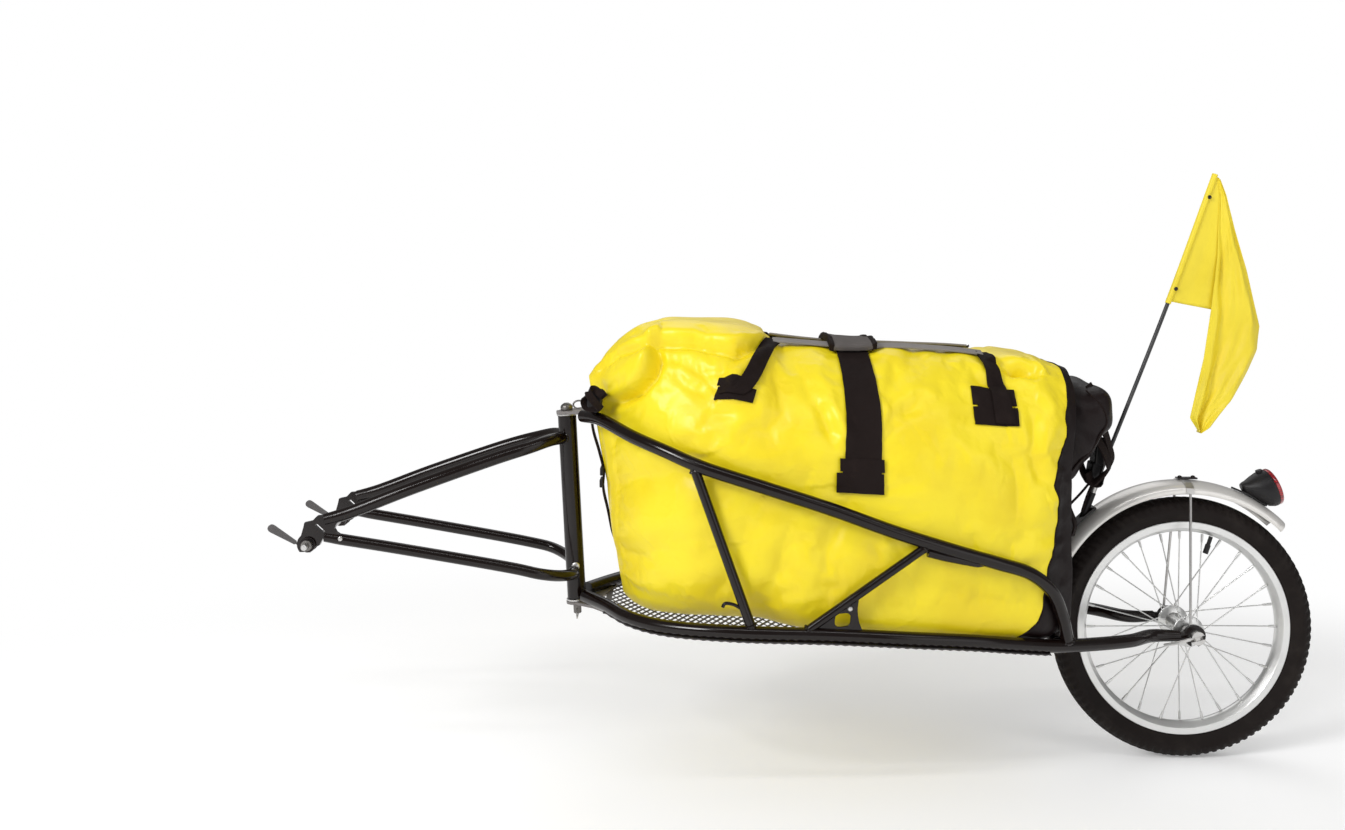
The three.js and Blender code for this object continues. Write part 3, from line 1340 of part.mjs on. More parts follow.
function addLight() {
  const pocketDepth = LIGHT_BUTTON_HEIGHT + LIGHT_BUTTON_TRAVEL + SEAT_GAP;
  const seatHole = lightButton(SEAT_GAP, 2 * pocketDepth + CUT_OVERRUN, pocketDepth);
  light.add(piece('light_housing', cut(lightHousing(), lightSaddle(), seatHole), BLACK_PLASTIC));
  light.add(piece('light_lens', lightLens(), RED_LENS));
  const button = lightButton(0, 2 * LIGHT_BUTTON_HEIGHT, LIGHT_BUTTON_HEIGHT);
  light.add(piece('light_button', button, BLACK_PLASTIC));
  wheel.add(piece('light_bracket', lightBracket(), BLACK_PLASTIC));
  trailer.add(light);
}

// Bag: a dry bag with a rolled ridge along its top, on the floor and between the rails.
// Each row is its share of the length, the width and the top rise, the ridge's sharpness,
// and how far the underside lifts off the floor as a share of the top rise.
const bagRowShares = [
  [0, 0.22, 0.62, 0.2, 0.04],
  [0.035, 0.38, 0.8, 0.3, 0.01],
  [0.1, 0.66, 0.985, 0.4, 0],
  [0.2, 0.88, 1.01, 0.45, 0],
  [0.32, 1, 0.995, 0.5, 0],
  [0.42, 1, 0.915, 0.5, 0],
  [0.6, 1, 0.895, 0.5, 0],
  [0.74, 0.97, 0.885, 0.45, 0],
  [0.86, 0.9, 0.87, 0.4, 0.01],
  [0.95, 0.8, 0.83, 0.35, 0.04],
  [1, 0.62, 0.76, 0.3, 0.14],
];

const bagSquareness = 4.5;
const bagRidgePower = 3;
const bagNosePower = 8;
const bagNoseLeanShare = 0.05;
const bagSides = 24;

function bagBottom(back) {
  return floorTop(Math.min(Math.max(back, FLOOR_FRONT), FLOOR_REAR)) + SOFT_GAP;
}

// The bag's skin at a row and an angle round it, 0 at the right side and rising over the top.
function bagSkin(rowShares, angle, extra = 0) {
  const [along, width, top, ridge, heel] = rowShares;
  const back = BAG_FRONT + along * (BAG_REAR - BAG_FRONT);
  const bottom = bagBottom(back) + heel * BAG_TOP_RISE - extra;
  const half = (top * BAG_TOP_RISE + extra - bottom) / 2;
  const cosine = Math.cos(angle);
  const sine = Math.sin(angle);
  const round = Math.abs(cosine) ** bagSquareness + Math.abs(sine) ** bagSquareness;
  const square = round ** (-1 / bagSquareness);
  const up = square * sine;
  const narrow = up > 0 ? 1 - ridge * up ** bagRidgePower : 1;
  const across = square * cosine * narrow;
  const nose = (1 - along) ** bagNosePower * bagNoseLeanShare * (BAG_REAR - BAG_FRONT);
  const lean = (nose * (1 - up)) / 2;
  return new THREE.Vector3(back + lean, across * (width * BAG_HALF_WIDTH + extra), bottom + half * (1 + up));
}

function bagRowAt(back) {
  const along = (back - BAG_FRONT) / (BAG_REAR - BAG_FRONT);
  const next = Math.max(1, bagRowShares.findIndex(([share]) => share >= along));
  const [before, after] = [bagRowShares[next - 1], bagRowShares[next]];
  const mix = (along - before[0]) / (after[0] - before[0]);
  return before.map((share, index) => share + mix * (after[index] - share));
}

function bagBody(extra = 0) {
  return loft(bagRowShares.length, bagSides, (row, angle, reach) => {
    const rowShares = bagRowShares[row];
    const skin = bagSkin(rowShares, angle, extra);
    if (reach > 0) {
      return skin;
    }
    const top = bagSkin(rowShares, Math.PI / 2);
    const bottom = bagSkin(rowShares, -Math.PI / 2);
    return top.add(bottom).multiplyScalar(0.5);
  });
}

// Black end of the bag, rounding down over the wheel
const bagCapRound = 0.6;
const bagCapShares = [
  [0, 1, 0.1, 1],
  [0.3, 0.94, 0.2, 0.99],
  [0.6, 0.8, 0.36, 0.98],
  [0.85, 0.58, 0.48, 0.94],
  [1, 0.34, 0.62, 0.84],
];

function bagCap() {
  return loft(bagCapShares.length, 16, (row, angle, reach) => {
    const [along, width, low, high] = bagCapShares[row];
    const middle = ((low + high) / 2) * BAG_CAP_RISE;
    const half = ((high - low) / 2) * BAG_CAP_RISE;
    const cosine = Math.cos(angle);
    const sine = Math.sin(angle);
    return new THREE.Vector3(
      BAG_REAR + SEAT_GAP + along * BAG_CAP_LENGTH,
      reach * width * BAG_CAP_HALF_WIDTH * Math.sign(cosine) * Math.abs(cosine) ** bagCapRound,
      middle + reach * half * Math.sign(sine) * Math.abs(sine) ** bagCapRound,
    );
  });
}

// A flat strap that starts inside the bag's skin, to be cut to lie on it. Its route is points of
// distance behind the hitch axle and angle round the bag, and its width lies along the bag or round it.
const strapLiftShares = [-1, 1, 1, -1];
const strapSpreadShares = [-0.5, -0.5, 0.5, 0.5];

function bagStrap(route, width, thickness, widthAlong) {
  return loft(route.length, 4, (row, angle, reach) => {
    const [back, around] = route[row];
    const corner = (Math.round(angle / (Math.PI / 2)) + 4) % 4;
    const lift = reach * strapLiftShares[corner] * thickness;
    const spread = reach * strapSpreadShares[corner] * width;
    if (widthAlong) {
      return bagSkin(bagRowAt(back + spread), around, lift);
    }
    return bagSkin(bagRowAt(back), around + spread / BAG_HALF_WIDTH, lift);
  });
}

// A route round the bag between two places, dense where the bag's shoulder bends.
const strapAngles = [-2, 15, 30, 38, 45, 52, 60, 75, 90, 105, 120, 128, 135, 142, 150, 165, 182];

function routeRound(side, fromBack, toBack, fromDegrees, toDegrees) {
  const between = strapAngles.filter((degrees) => degrees > fromDegrees && degrees < toDegrees);
  return [fromDegrees, ...between, toDegrees].map((degrees) => {
    const share = (degrees - fromDegrees) / (toDegrees - fromDegrees);
    const around = THREE.MathUtils.degToRad(side > 0 ? degrees : 180 - degrees);
    return [THREE.MathUtils.lerp(fromBack, toBack, share), around];
  });
}

// Each handle is a grip along the bag with an end sewn to its side at either end.
const handleFootDegrees = 30;
const handleGripDegrees = 64;

function handle(side, extra = 0) {
  const width = HANDLE_WIDTH + 2 * extra;
  const thickness = HANDLE_THICKNESS + extra;
  const gripFront = HANDLE_FRONT + 2 * HANDLE_WIDTH;
  const gripRear = HANDLE_REAR - HANDLE_WIDTH / 2;
  const front = routeRound(side, HANDLE_FRONT, gripFront, handleFootDegrees, handleGripDegrees);
  const rear = routeRound(side, HANDLE_REAR, gripRear, handleFootDegrees, handleGripDegrees);
  const grip = [front.at(-1), [(gripFront + gripRear) / 2, front.at(-1)[1]], rear.at(-1)];
  return joined(
    bagStrap(front, width, thickness, true),
    bagStrap(grip, width, thickness, false),
    bagStrap(rear, width, thickness, true),
  );
}

// The centre strap passes over both handles.
function centreStrap() {
  const route = routeRound(1, CENTRE_STRAP_BACK, CENTRE_STRAP_BACK, strapAngles[0], strapAngles.at(-1));
  const band = bagStrap(route, CENTRE_STRAP_WIDTH, CENTRE_STRAP_THICKNESS, true);
  return cut(band, handle(-1, SEAT_GAP), handle(1, SEAT_GAP), bagBody(SEAT_GAP));
}

function frontStrap() {
  const top = bagSkin(bagRowShares[0], Math.PI / 2);
  const foot = bagSkin(bagRowShares[0], 0);
  const slope = (foot.x - top.x) / (top.z - foot.z);
  const seat = SEAT_GAP + STRAP_THICKNESS / 2;
  const length = (top.z - foot.z) * FRONT_STRAP_REACH_SHARE;
  const strap = new THREE.BoxGeometry(STRAP_THICKNESS, FRONT_STRAP_WIDTH, length);
  strap.translate(-seat, 0, -length / 2);
  strap.rotateY(-Math.atan(slope));
  return strap.translate(top.x, 0, top.z - SOFT_GAP);
}

function addBag() {
  trailer.add(piece('bag_body', bagBody(), YELLOW_FABRIC));
  trailer.add(piece('bag_end_cap', bagCap(), BLACK_FABRIC));
  trailer.add(piece('bag_centre_strap', centreStrap(), BLACK_FABRIC));
  trailer.add(piece('bag_front_strap', frontStrap(), BLACK_FABRIC));
  for (const side of SIDES) {
    const seated = cut(handle(side), bagBody(SEAT_GAP));
    trailer.add(piece(`bag_handle_${sideName(side)}`, seated, BLACK_FABRIC));
  }
}

addWheel();
addAxle();
addFender();
addFlag();
addLight();
addBag();
trailer.add(wheel);

export default trailer;
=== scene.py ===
"""Looks of the single wheel touring trailer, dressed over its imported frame."""
import logging
import math
from dataclasses import dataclass, field
from enum import Enum
from typing import Callable, Iterable, Sequence, Union

import bmesh
import bpy
import numpy as np
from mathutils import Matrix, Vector


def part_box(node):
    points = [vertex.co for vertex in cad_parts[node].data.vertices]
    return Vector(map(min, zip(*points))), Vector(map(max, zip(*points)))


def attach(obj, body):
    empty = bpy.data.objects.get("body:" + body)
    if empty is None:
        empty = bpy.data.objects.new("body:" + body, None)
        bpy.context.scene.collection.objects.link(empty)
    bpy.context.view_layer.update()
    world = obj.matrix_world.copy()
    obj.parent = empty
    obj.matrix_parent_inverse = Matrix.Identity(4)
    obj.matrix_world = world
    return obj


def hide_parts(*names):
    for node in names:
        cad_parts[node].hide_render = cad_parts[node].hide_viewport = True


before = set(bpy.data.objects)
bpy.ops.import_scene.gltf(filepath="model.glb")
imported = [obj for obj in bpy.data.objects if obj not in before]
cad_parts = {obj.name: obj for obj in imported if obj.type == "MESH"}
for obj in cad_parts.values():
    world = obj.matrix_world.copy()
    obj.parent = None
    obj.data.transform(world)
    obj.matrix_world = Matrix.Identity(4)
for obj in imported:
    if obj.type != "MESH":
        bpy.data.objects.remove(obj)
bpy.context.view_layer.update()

log = logging.getLogger("trailer")

MM = 0.001
LEFT = -1
RIGHT = 1
SIDES = (LEFT, RIGHT)
ACROSS = (0, 1, 0)
SHARP_ANGLE = 38.0
Colour = tuple[float, float, float, float]
Number = Union[float, "Signal"]


def side_name(side: int) -> str:
    """Returns left for the near side and right for the far one."""
    return "left" if side == LEFT else "right"


def unit(vector: np.ndarray) -> np.ndarray:
    """Scales vectors along the last axis to a length of one.

    Args:
        vector: One vector or an array of them.

    Returns:
        The same directions with unit length.
    """
    length = np.linalg.norm(vector, axis=-1, keepdims=True)
    return vector / np.maximum(length, 1e-9)


def smoothstep(value: np.ndarray, low: float, high: float) -> np.ndarray:
    """Rises smoothly from 0 at low to 1 at high."""
    share = np.clip((value - low) / (high - low), 0.0, 1.0)
    return share * share * (3 - 2 * share)


def circle(count: int) -> np.ndarray:
    """Returns that many angles, at even steps round a full turn."""
    return np.linspace(0, 2 * np.pi, count, endpoint=False)


def rounded(across: np.ndarray, up: np.ndarray, power: float | np.ndarray) -> np.ndarray:
    """How far a rounded square reaches in each direction.

    Args:
        across: The direction's cosine, divided by the half width where that isn't 1.
        up: The direction's sine, divided by the half height where that isn't 1.
        power: How square the corners are, from 2 for a circle.

    Returns:
        The distances from its middle.
    """
    return (np.abs(across) ** power + np.abs(up) ** power) ** (-1 / power)


def square_axes(axis: Sequence) -> tuple[np.ndarray, np.ndarray, np.ndarray]:
    """Three directions at right angles.

    Args:
        axis: The first of them, of any length.

    Returns:
        The axis and two directions across it, each of length one.
    """
    along = unit(np.asarray(axis, float))
    helper = np.array([0.0, 0.0, 1.0]) if abs(along[2]) < 0.9 else np.array([1.0, 0.0, 0.0])
    across = unit(np.cross(along, helper))
    return along, across, np.cross(along, across)


def even(points: Sequence, count: int) -> np.ndarray:
    """Points at even distances along a polyline.

    Args:
        points: The corners of the line.
        count: How many points to return.

    Returns:
        The points, first and last included.
    """
    points = np.asarray(points, float)
    distance = np.concatenate([[0], np.cumsum(np.linalg.norm(np.diff(points, axis=0), axis=1))])
    places = np.linspace(0, distance[-1], count)
    return np.stack([np.interp(places, distance, column) for column in points.T], axis=1)


def spline(points: Sequence, count: int) -> np.ndarray:
    """A centripetal Catmull-Rom curve through points, evenly spaced.

    Args:
        points: The points that it passes through.
        count: How many points to return.

    Returns:
        Points at even distances along the curve.
    """
    points = np.asarray(points, float)
    padded = np.vstack([2 * points[0] - points[1], points, 2 * points[-1] - points[-2]])
    fine = []
    for index in range(len(points) - 1):
        before, start, end, after = padded[index:index + 4]
        steps = (start - before, end - start, after - end)
        first, middle, last = (max(np.linalg.norm(step), 1e-6) ** 0.5 for step in steps)
        leave = (steps[0] / first - (end - before) / (first + middle) + steps[1] / middle) * middle
        reach = (steps[1] / middle - (after - start) / (middle + last) + steps[2] / last) * middle
        for share in np.linspace(0, 1, 24, endpoint=False):
            square, cube = share ** 2, share ** 3
            fine.append(
                (2 * cube - 3 * square + 1) * start + (cube - 2 * square + share) * leave
                + (3 * square - 2 * cube) * end + (cube - square) * reach
            )
    fine.append(points[-1])
    return even(fine, count)


def mirrored(points: Sequence, side: int) -> np.ndarray:
    """Points on one side of the trailer.

    Args:
        points: The points on the right side.
        side: The side that they go to.

    Returns:
        A copy of the points there.
    """
    array = np.asarray(points, float).copy()
    array[..., 1] *= side
    return array


def at_back(path: np.ndarray, back: float) -> np.ndarray:
    """Returns the point of a rail's path at a distance behind the hitch axle."""
    return np.array([np.interp(back, path[:, 0], column) for column in path.T])


def swept(centre: Sequence, reach: np.ndarray, out: np.ndarray, turns: np.ndarray) -> np.ndarray:
    """Points of a section that goes round the wheel's axle.

    Args:
        centre: The middle of the axle.
        reach: The section's distances from the axle, for all turns or row by row.
        out: How far its points lie to the side, likewise.
        turns: The angle of each row.

    Returns:
        The points, row by row.
    """
    reach, out, angle = np.broadcast_arrays(reach, out, turns[:, None])
    return np.stack([centre[0] + reach * np.cos(angle), out, centre[2] + reach * np.sin(angle)], axis=2)


def placed(name: str, data: bpy.types.ID) -> bpy.types.Object:
    """Puts a new object into the scene.

    Args:
        name: Its name.
        data: The mesh, lamp or camera that it holds.

    Returns:
        The object.
    """
    made = bpy.data.objects.new(name, data)
    bpy.context.scene.collection.objects.link(made)
    return made


def operator(operation: str, reflected: bool = False) -> Callable[..., "Signal"]:
    """Makes the method behind an operator, which adds one Math node.

    Args:
        operation: The Math node's operation.
        reflected: Whether the other value comes first.

    Returns:
        The method.
    """
    def apply(signal: "Signal", other: Number = 0.0) -> "Signal":
        """Returns the result of the operation on a signal and another value."""
        first, second = (other, signal) if reflected else (signal, other)
        return signal.shader.maths(operation, first, second)

    return apply


@dataclass(frozen=True)
class Signal:
    """A shader socket that adds its own Math nodes when it is used in an expression."""

    shader: "Shader"
    socket: bpy.types.NodeSocket

    __add__, __radd__ = operator("ADD"), operator("ADD", True)
    __sub__, __rsub__ = operator("SUBTRACT"), operator("SUBTRACT", True)
    __mul__, __rmul__ = operator("MULTIPLY"), operator("MULTIPLY", True)
    __pow__, __abs__, sine = operator("POWER"), operator("ABSOLUTE"), operator("SINE")

    def between(self, low: float, high: float) -> "Signal":
        """Maps self from low and high to 0 and 1, smoothly and clamped.

        Args:
            low: The value that becomes 0.
            high: The value that becomes 1.

        Returns:
            The mapped signal.
        """
        settings = {"interpolation_type": "SMOOTHSTEP"}
        values = {"Value": self, "From Min": low, "From Max": high}
        return self.shader.signal("ShaderNodeMapRange", "Result", settings, values)


class Shader:
    """Builds the node tree of one material, or of the world."""

    def __init__(self, owner: bpy.types.Material | bpy.types.World) -> None:
        """Empties the node tree of a new material or world.

        Args:
            owner: The material or world.
        """
        owner.use_nodes = True
        self.material = owner
        self.tree = owner.node_tree
        self.tree.nodes.clear()
        self._place: Union[Signal, None] = None

    def node(self, kind: str, settings: dict | None = None, values: dict | None = None) -> bpy.types.Node:
        """Makes a node, sets its settings first and then its sockets.

        Args:
            kind: The node's type.
            settings: Attributes of the node.
            values: Numbers, colours or signals by socket name or number.

        Returns:
            The new node.
        """
        made = self.tree.nodes.new(kind)
        for key, value in (settings or {}).items():
            setattr(made, key, value)
        for key, value in (values or {}).items():
            if isinstance(value, Signal):
                self.tree.links.new(value.socket, made.inputs[key])
            else:
                made.inputs[key].default_value = value
        return made

    def signal(self, kind: str, output: str | int, settings: dict | None = None,
               values: dict | None = None) -> Signal:
        """Makes a node and returns one of its outputs as a signal.

        Args:
            kind: The node's type.
            output: The output's name or number.
            settings: Attributes of the node.
            values: Numbers, colours or signals by socket.

        Returns:
            The output as a signal.
        """
        return Signal(self, self.node(kind, settings, values).outputs[output])

    def maths(self, operation: str, first: Number, second: Number) -> Signal:
        """Adds one Math node."""
        return self.signal("ShaderNodeMath", 0, {"operation": operation}, {0: first, 1: second})

    @property
    def place(self) -> Signal:
        """The point on the surface in the row frame, in metres."""
        if self._place is None:
            self._place = self.signal("ShaderNodeTexCoord", "Object")
        return self._place

    def axes(self) -> tuple[Signal, Signal, Signal]:
        """Returns the three coordinates of the surface point."""
        split = self.node("ShaderNodeSeparateXYZ", None, {0: self.place})
        east, north, up = (Signal(self, output) for output in split.outputs)
        return east, north, up

    def noise(self, scale: float, detail: float = 3.0, rough: float = 0.55,
              stretch: tuple | None = None) -> Signal:
        """Returns a noise value about 0.5.

        Args:
            scale: Noise cells per metre.
            detail: Octaves.
            rough: How strong the finer octaves are.
            stretch: Optional scale along each axis.

        Returns:
            The noise as a signal.
        """
        place = self.place
        if stretch is not None:
            place = self.signal(
                "ShaderNodeMapping", 0, {"vector_type": "POINT"}, {"Vector": place, "Scale": stretch})
        values = {"Vector": place, "Scale": scale, "Detail": detail, "Roughness": rough}
        return self.signal("ShaderNodeTexNoise", 0, None, values)

    def mix(self, share: Number, first: Colour | Signal, second: Colour | Signal) -> Signal:
        """Mixes two colours by a share of the second."""
        return self.signal("ShaderNodeMix", 2, {"data_type": "RGBA"}, {0: share, 6: first, 7: second})

    def bump(self, height: Signal, depth: float, strength: float = 1.0,
             under: Signal | None = None) -> Signal:
        """Turns a height into a normal.

        Args:
            height: The height signal, 0 to 1.
            depth: The depth in metres that 1 stands for.
            strength: How much of the bump shows.
            under: A normal that the bump adds to.

        Returns:
            The bent normal.
        """
        values: dict = {"Strength": strength, "Distance": depth, "Height": height}
        if under is not None:
            values["Normal"] = under
        return self.signal("ShaderNodeBump", 0, None, values)

    def finish(self, values: dict) -> bpy.types.Material:
        """Ends the material in a Principled shader with these sockets."""
        surface = self.signal("ShaderNodeBsdfPrincipled", 0, None, values)
        self.node("ShaderNodeOutputMaterial", None, {"Surface": surface})
        return self.material


@dataclass(frozen=True)
class PowderCoat:
    """Gloss black coat baked on steel tube, with dust and small scuffs."""

    colour: Colour = (0.006, 0.003, 0.0024, 1)
    scuff: Colour = (0.05, 0.042, 0.038, 1)
    rough: float = 0.11

    def build(self, shader: Shader) -> bpy.types.Material:
        """Wires the finish up.

        Args:
            shader: The shader of the new material.

        Returns:
            The finished material.
        """
        dust = shader.noise(14, 4)
        scuffs = shader.noise(330, 2, 0.5, (1, 1, 0.25)).between(0.72, 0.78)
        colour = shader.mix(scuffs * dust.between(0.5, 0.7) * 0.5, self.colour, self.scuff)
        peel = shader.noise(900, 2)
        return shader.finish({
            "Base Color": colour,
            "Roughness": self.rough + dust.between(0.35, 0.75) * 0.16,
            "Specular IOR Level": 0.36,
            "Normal": shader.bump(peel, 0.0001, 0.35),
        })


@dataclass(frozen=True)
class BareMetal:
    """Plated steel or polished alloy with fine brushing."""

    colour: Colour = (0.62, 0.61, 0.6, 1)
    stain: Colour = (0.38, 0.36, 0.34, 1)
    rough: float = 0.28
    brush: tuple = (1, 1, 1)
    metal: float = 1.0

    def build(self, shader: Shader) -> bpy.types.Material:
        """Wires the finish up.

        Args:
            shader: The shader of the new material.

        Returns:
            The finished material.
        """
        cloud = shader.noise(22, 5)
        grain = shader.noise(1400, 2, 0.6, self.brush)
        return shader.finish({
            "Base Color": shader.mix(cloud.between(0.45, 0.8) * 0.45, self.colour, self.stain),
            "Metallic": self.metal,
            "Roughness": self.rough + grain * 0.12 + cloud * 0.06,
            "Normal": shader.bump(grain, 0.00004, 0.4),
        })


@dataclass(frozen=True)
class TyreRubber:
    """Dark rubber with road dust in the tread."""

    colour: Colour = (0.008, 0.005, 0.0042, 1)
    dust: Colour = (0.03, 0.024, 0.02, 1)

    def build(self, shader: Shader) -> bpy.types.Material:
        """Wires the finish up.

        Args:
            shader: The shader of the new material.

        Returns:
            The finished material.
        """
        cloud = shader.noise(30, 5)
        grain = shader.noise(1500, 2)
        return shader.finish({
            "Base Color": shader.mix(cloud.between(0.45, 0.8) * 0.35, self.colour, self.dust),
            "Roughness": 0.58 + grain * 0.2,
            "Specular IOR Level": 0.18,
            "Normal": shader.bump(grain, 0.00015, 0.5),
        })


@dataclass(frozen=True)
class CoatedCloth:
    """Tarpaulin cloth: a woven base that shows through a soft glossy coat."""

    colour: Colour = (0.86, 0.69, 0.012, 1)
    shade: Colour = (0.74, 0.55, 0.004, 1)
    pitch: float = 0.0011
    rough: float = 0.3
    crumple: float = 0.0018
    gloss: float = 0.45

    def build(self, shader: Shader) -> bpy.types.Material:
        """Wires the finish up.

        Args:
            shader: The shader of the new material.

        Returns:
            The finished material.
        """
        east, north, up = shader.axes()
        turn = 2 * math.pi / self.pitch
        weave = (east * turn).sine() * ((north + up) * turn).sine() * 0.5 + 0.5
        cloud = shader.noise(7, 5)
        crumple = shader.noise(34, 4, 0.5)
        ruck = abs(shader.noise(16, 3, 0.5) - 0.5) * 2
        creased = shader.bump(1 - ruck.between(0, 0.16), self.crumple, 0.22)
        crumpled = shader.bump(crumple, self.crumple, 0.5, creased)
        return shader.finish({
            "Base Color": shader.mix(cloud.between(0.42, 0.7) * 0.7, self.colour, self.shade),
            "Roughness": self.rough + crumple * 0.14,
            "Specular IOR Level": self.gloss,
            "Normal": shader.bump(weave, 0.00008, 0.35, crumpled),
        })


@dataclass(frozen=True)
class Webbing:
    """Ribbed woven strap."""

    colour: Colour = (0.0075, 0.003, 0.0024, 1)
    worn: Colour = (0.02, 0.012, 0.0105, 1)
    pitch: float = 0.0016

    def build(self, shader: Shader) -> bpy.types.Material:
        """Wires the finish up.

        Args:
            shader: The shader of the new material.

        Returns:
            The finished material.
        """
        east, north, up = shader.axes()
        turn = 2 * math.pi / self.pitch
        ribs = ((east + 0.5 * up) * turn).sine() * ((up - 0.4 * east + north) * turn).sine() * 0.5 + 0.5
        cloud = shader.noise(40, 5)
        return shader.finish({
            "Base Color": shader.mix(ribs * 0.35 + cloud.between(0.5, 0.8) * 0.5, self.colour, self.worn),
            "Roughness": 0.7 + cloud * 0.2,
            "Specular IOR Level": 0.2,
            "Normal": shader.bump(ribs, 0.00035, 0.7),
        })


@dataclass(frozen=True)
class Moulding:
    """Moulded plastic with a fine spark texture."""

    colour: Colour = (0.007, 0.006, 0.007, 1)
    tint: Colour = (0.018, 0.017, 0.018, 1)
    rough: float = 0.4
    texture: float = 0.00012
    coat: float = 0.0
    metal: float = 0.0

    def build(self, shader: Shader) -> bpy.types.Material:
        """Wires the finish up.

        Args:
            shader: The shader of the new material.

        Returns:
            The finished material.
        """
        cloud = shader.noise(18, 4)
        spark = shader.noise(1100, 2)
        return shader.finish({
            "Base Color": shader.mix(cloud.between(0.4, 0.8), self.colour, self.tint),
            "Metallic": self.metal,
            "Roughness": self.rough + spark * 0.1,
            "Specular IOR Level": 0.35,
            "Coat Weight": self.coat,
            "Normal": shader.bump(spark, self.texture, 0.4),
        })


@dataclass(frozen=True)
class RedLens:
    """Clear red moulding with a field of small prisms behind its face."""

    colour: Colour = (0.42, 0.006, 0.012, 1)
    deep: Colour = (0.12, 0.001, 0.004, 1)
    pitch: float = 0.0032

    def build(self, shader: Shader) -> bpy.types.Material:
        """Wires the finish up.

        Args:
            shader: The shader of the new material.

        Returns:
            The finished material.
        """
        _, north, up = shader.axes()
        turn = math.pi / self.pitch
        prisms = abs((north * turn).sine()) * abs((up * turn).sine())
        return shader.finish({
            "Base Color": shader.mix(prisms, self.deep, self.colour),
            "Roughness": 0.12,
            "Coat Weight": 0.8,
            "Coat Roughness": 0.05,
            "Normal": shader.bump(prisms, 0.0003, 0.5),
        })


class Finish(Enum):
    """The finishes of the trailer, each with the record's slot that it belongs to."""

    PAINT = ("black_paint", PowderCoat())
    # A lighter grey copy of the black paint: painted sheen for the light that the black mesh floor catches.
    PLATE_PAINT_PAINTED_SHEEN = ("black_paint", PowderCoat(
        colour=(0.075, 0.068, 0.068, 1), scuff=(0.16, 0.15, 0.15, 1), rough=0.3))
    # A mid grey copy of the black paint: painted reflection, for the light that the black head plates
    # reflect.
    HEAD_PAINT_PAINTED_REFLECTION = ("black_paint", PowderCoat(
        colour=(0.19, 0.175, 0.17, 1), scuff=(0.3, 0.28, 0.27, 1), rough=0.32))
    STEEL = ("plated_steel", BareMetal())
    DARK_STEEL = ("plated_steel", BareMetal(
        colour=(0.22, 0.21, 0.2, 1), stain=(0.12, 0.11, 0.1, 1), rough=0.36))
    OILED_STEEL = ("plated_steel", BareMetal(
        colour=(0.035, 0.03, 0.03, 1), stain=(0.02, 0.018, 0.018, 1), rough=0.3))
    RIM = ("bare_alloy", BareMetal(
        colour=(0.78, 0.78, 0.77, 1), stain=(0.6, 0.6, 0.59, 1), rough=0.3))
    SPOKE = ("bare_alloy", BareMetal(colour=(0.7, 0.7, 0.69, 1), rough=0.22))
    FENDER = ("silver_plastic", Moulding(
        colour=(0.7, 0.68, 0.65, 1), tint=(0.78, 0.76, 0.73, 1), rough=0.26, texture=0.00003, coat=0.5,
        metal=0.45))
    TYRE = ("rubber", TyreRubber())
    CLOTH = ("yellow_fabric", CoatedCloth())
    FLAG = ("yellow_fabric", CoatedCloth(
        colour=(0.8, 0.64, 0.03, 1), shade=(0.68, 0.52, 0.012, 1), crumple=0.0011, rough=0.42, pitch=0.0006))
    BLACK_CLOTH = ("black_fabric", CoatedCloth(
        colour=(0.0055, 0.0018, 0.0016, 1), shade=(0.0095, 0.0045, 0.005, 1), rough=0.38, gloss=0.22))
    WEBBING = ("black_fabric", Webbing())
    GREY_WEBBING = ("black_fabric", Webbing(colour=(0.2, 0.185, 0.175, 1), worn=(0.33, 0.31, 0.3, 1)))
    PAD_WEBBING = ("black_fabric", Webbing(colour=(0.085, 0.075, 0.07, 1), worn=(0.15, 0.135, 0.13, 1)))
    PLASTIC = ("black_plastic", Moulding())
    LEVER = ("black_plastic", Moulding(
        colour=(0.085, 0.08, 0.08, 1), tint=(0.14, 0.13, 0.13, 1), rough=0.3, metal=0.3))
    POLE = ("pole_fibre", Moulding(colour=(0.03, 0.03, 0.032, 1), tint=(0.06, 0.06, 0.06, 1), rough=0.3))
    LENS = ("red_lens", RedLens())

    @property
    def slot(self) -> str:
        """Returns the record's material slot."""
        return self.value[0]

    def material(self) -> bpy.types.Material:
        """Returns the finish's material, made once."""
        name = f"{self.name.lower()}_finish"
        return bpy.data.materials.get(name) or self.value[1].build(Shader(bpy.data.materials.new(name)))


def dress(piece: bpy.types.Object, finish: Finish) -> bpy.types.Object:
    """Gives a piece one finish.

    Args:
        piece: The object.
        finish: The finish that it takes.

    Returns:
        The same object.
    """
    piece.data.materials.clear()
    piece.data.materials.append(finish.material())
    return piece


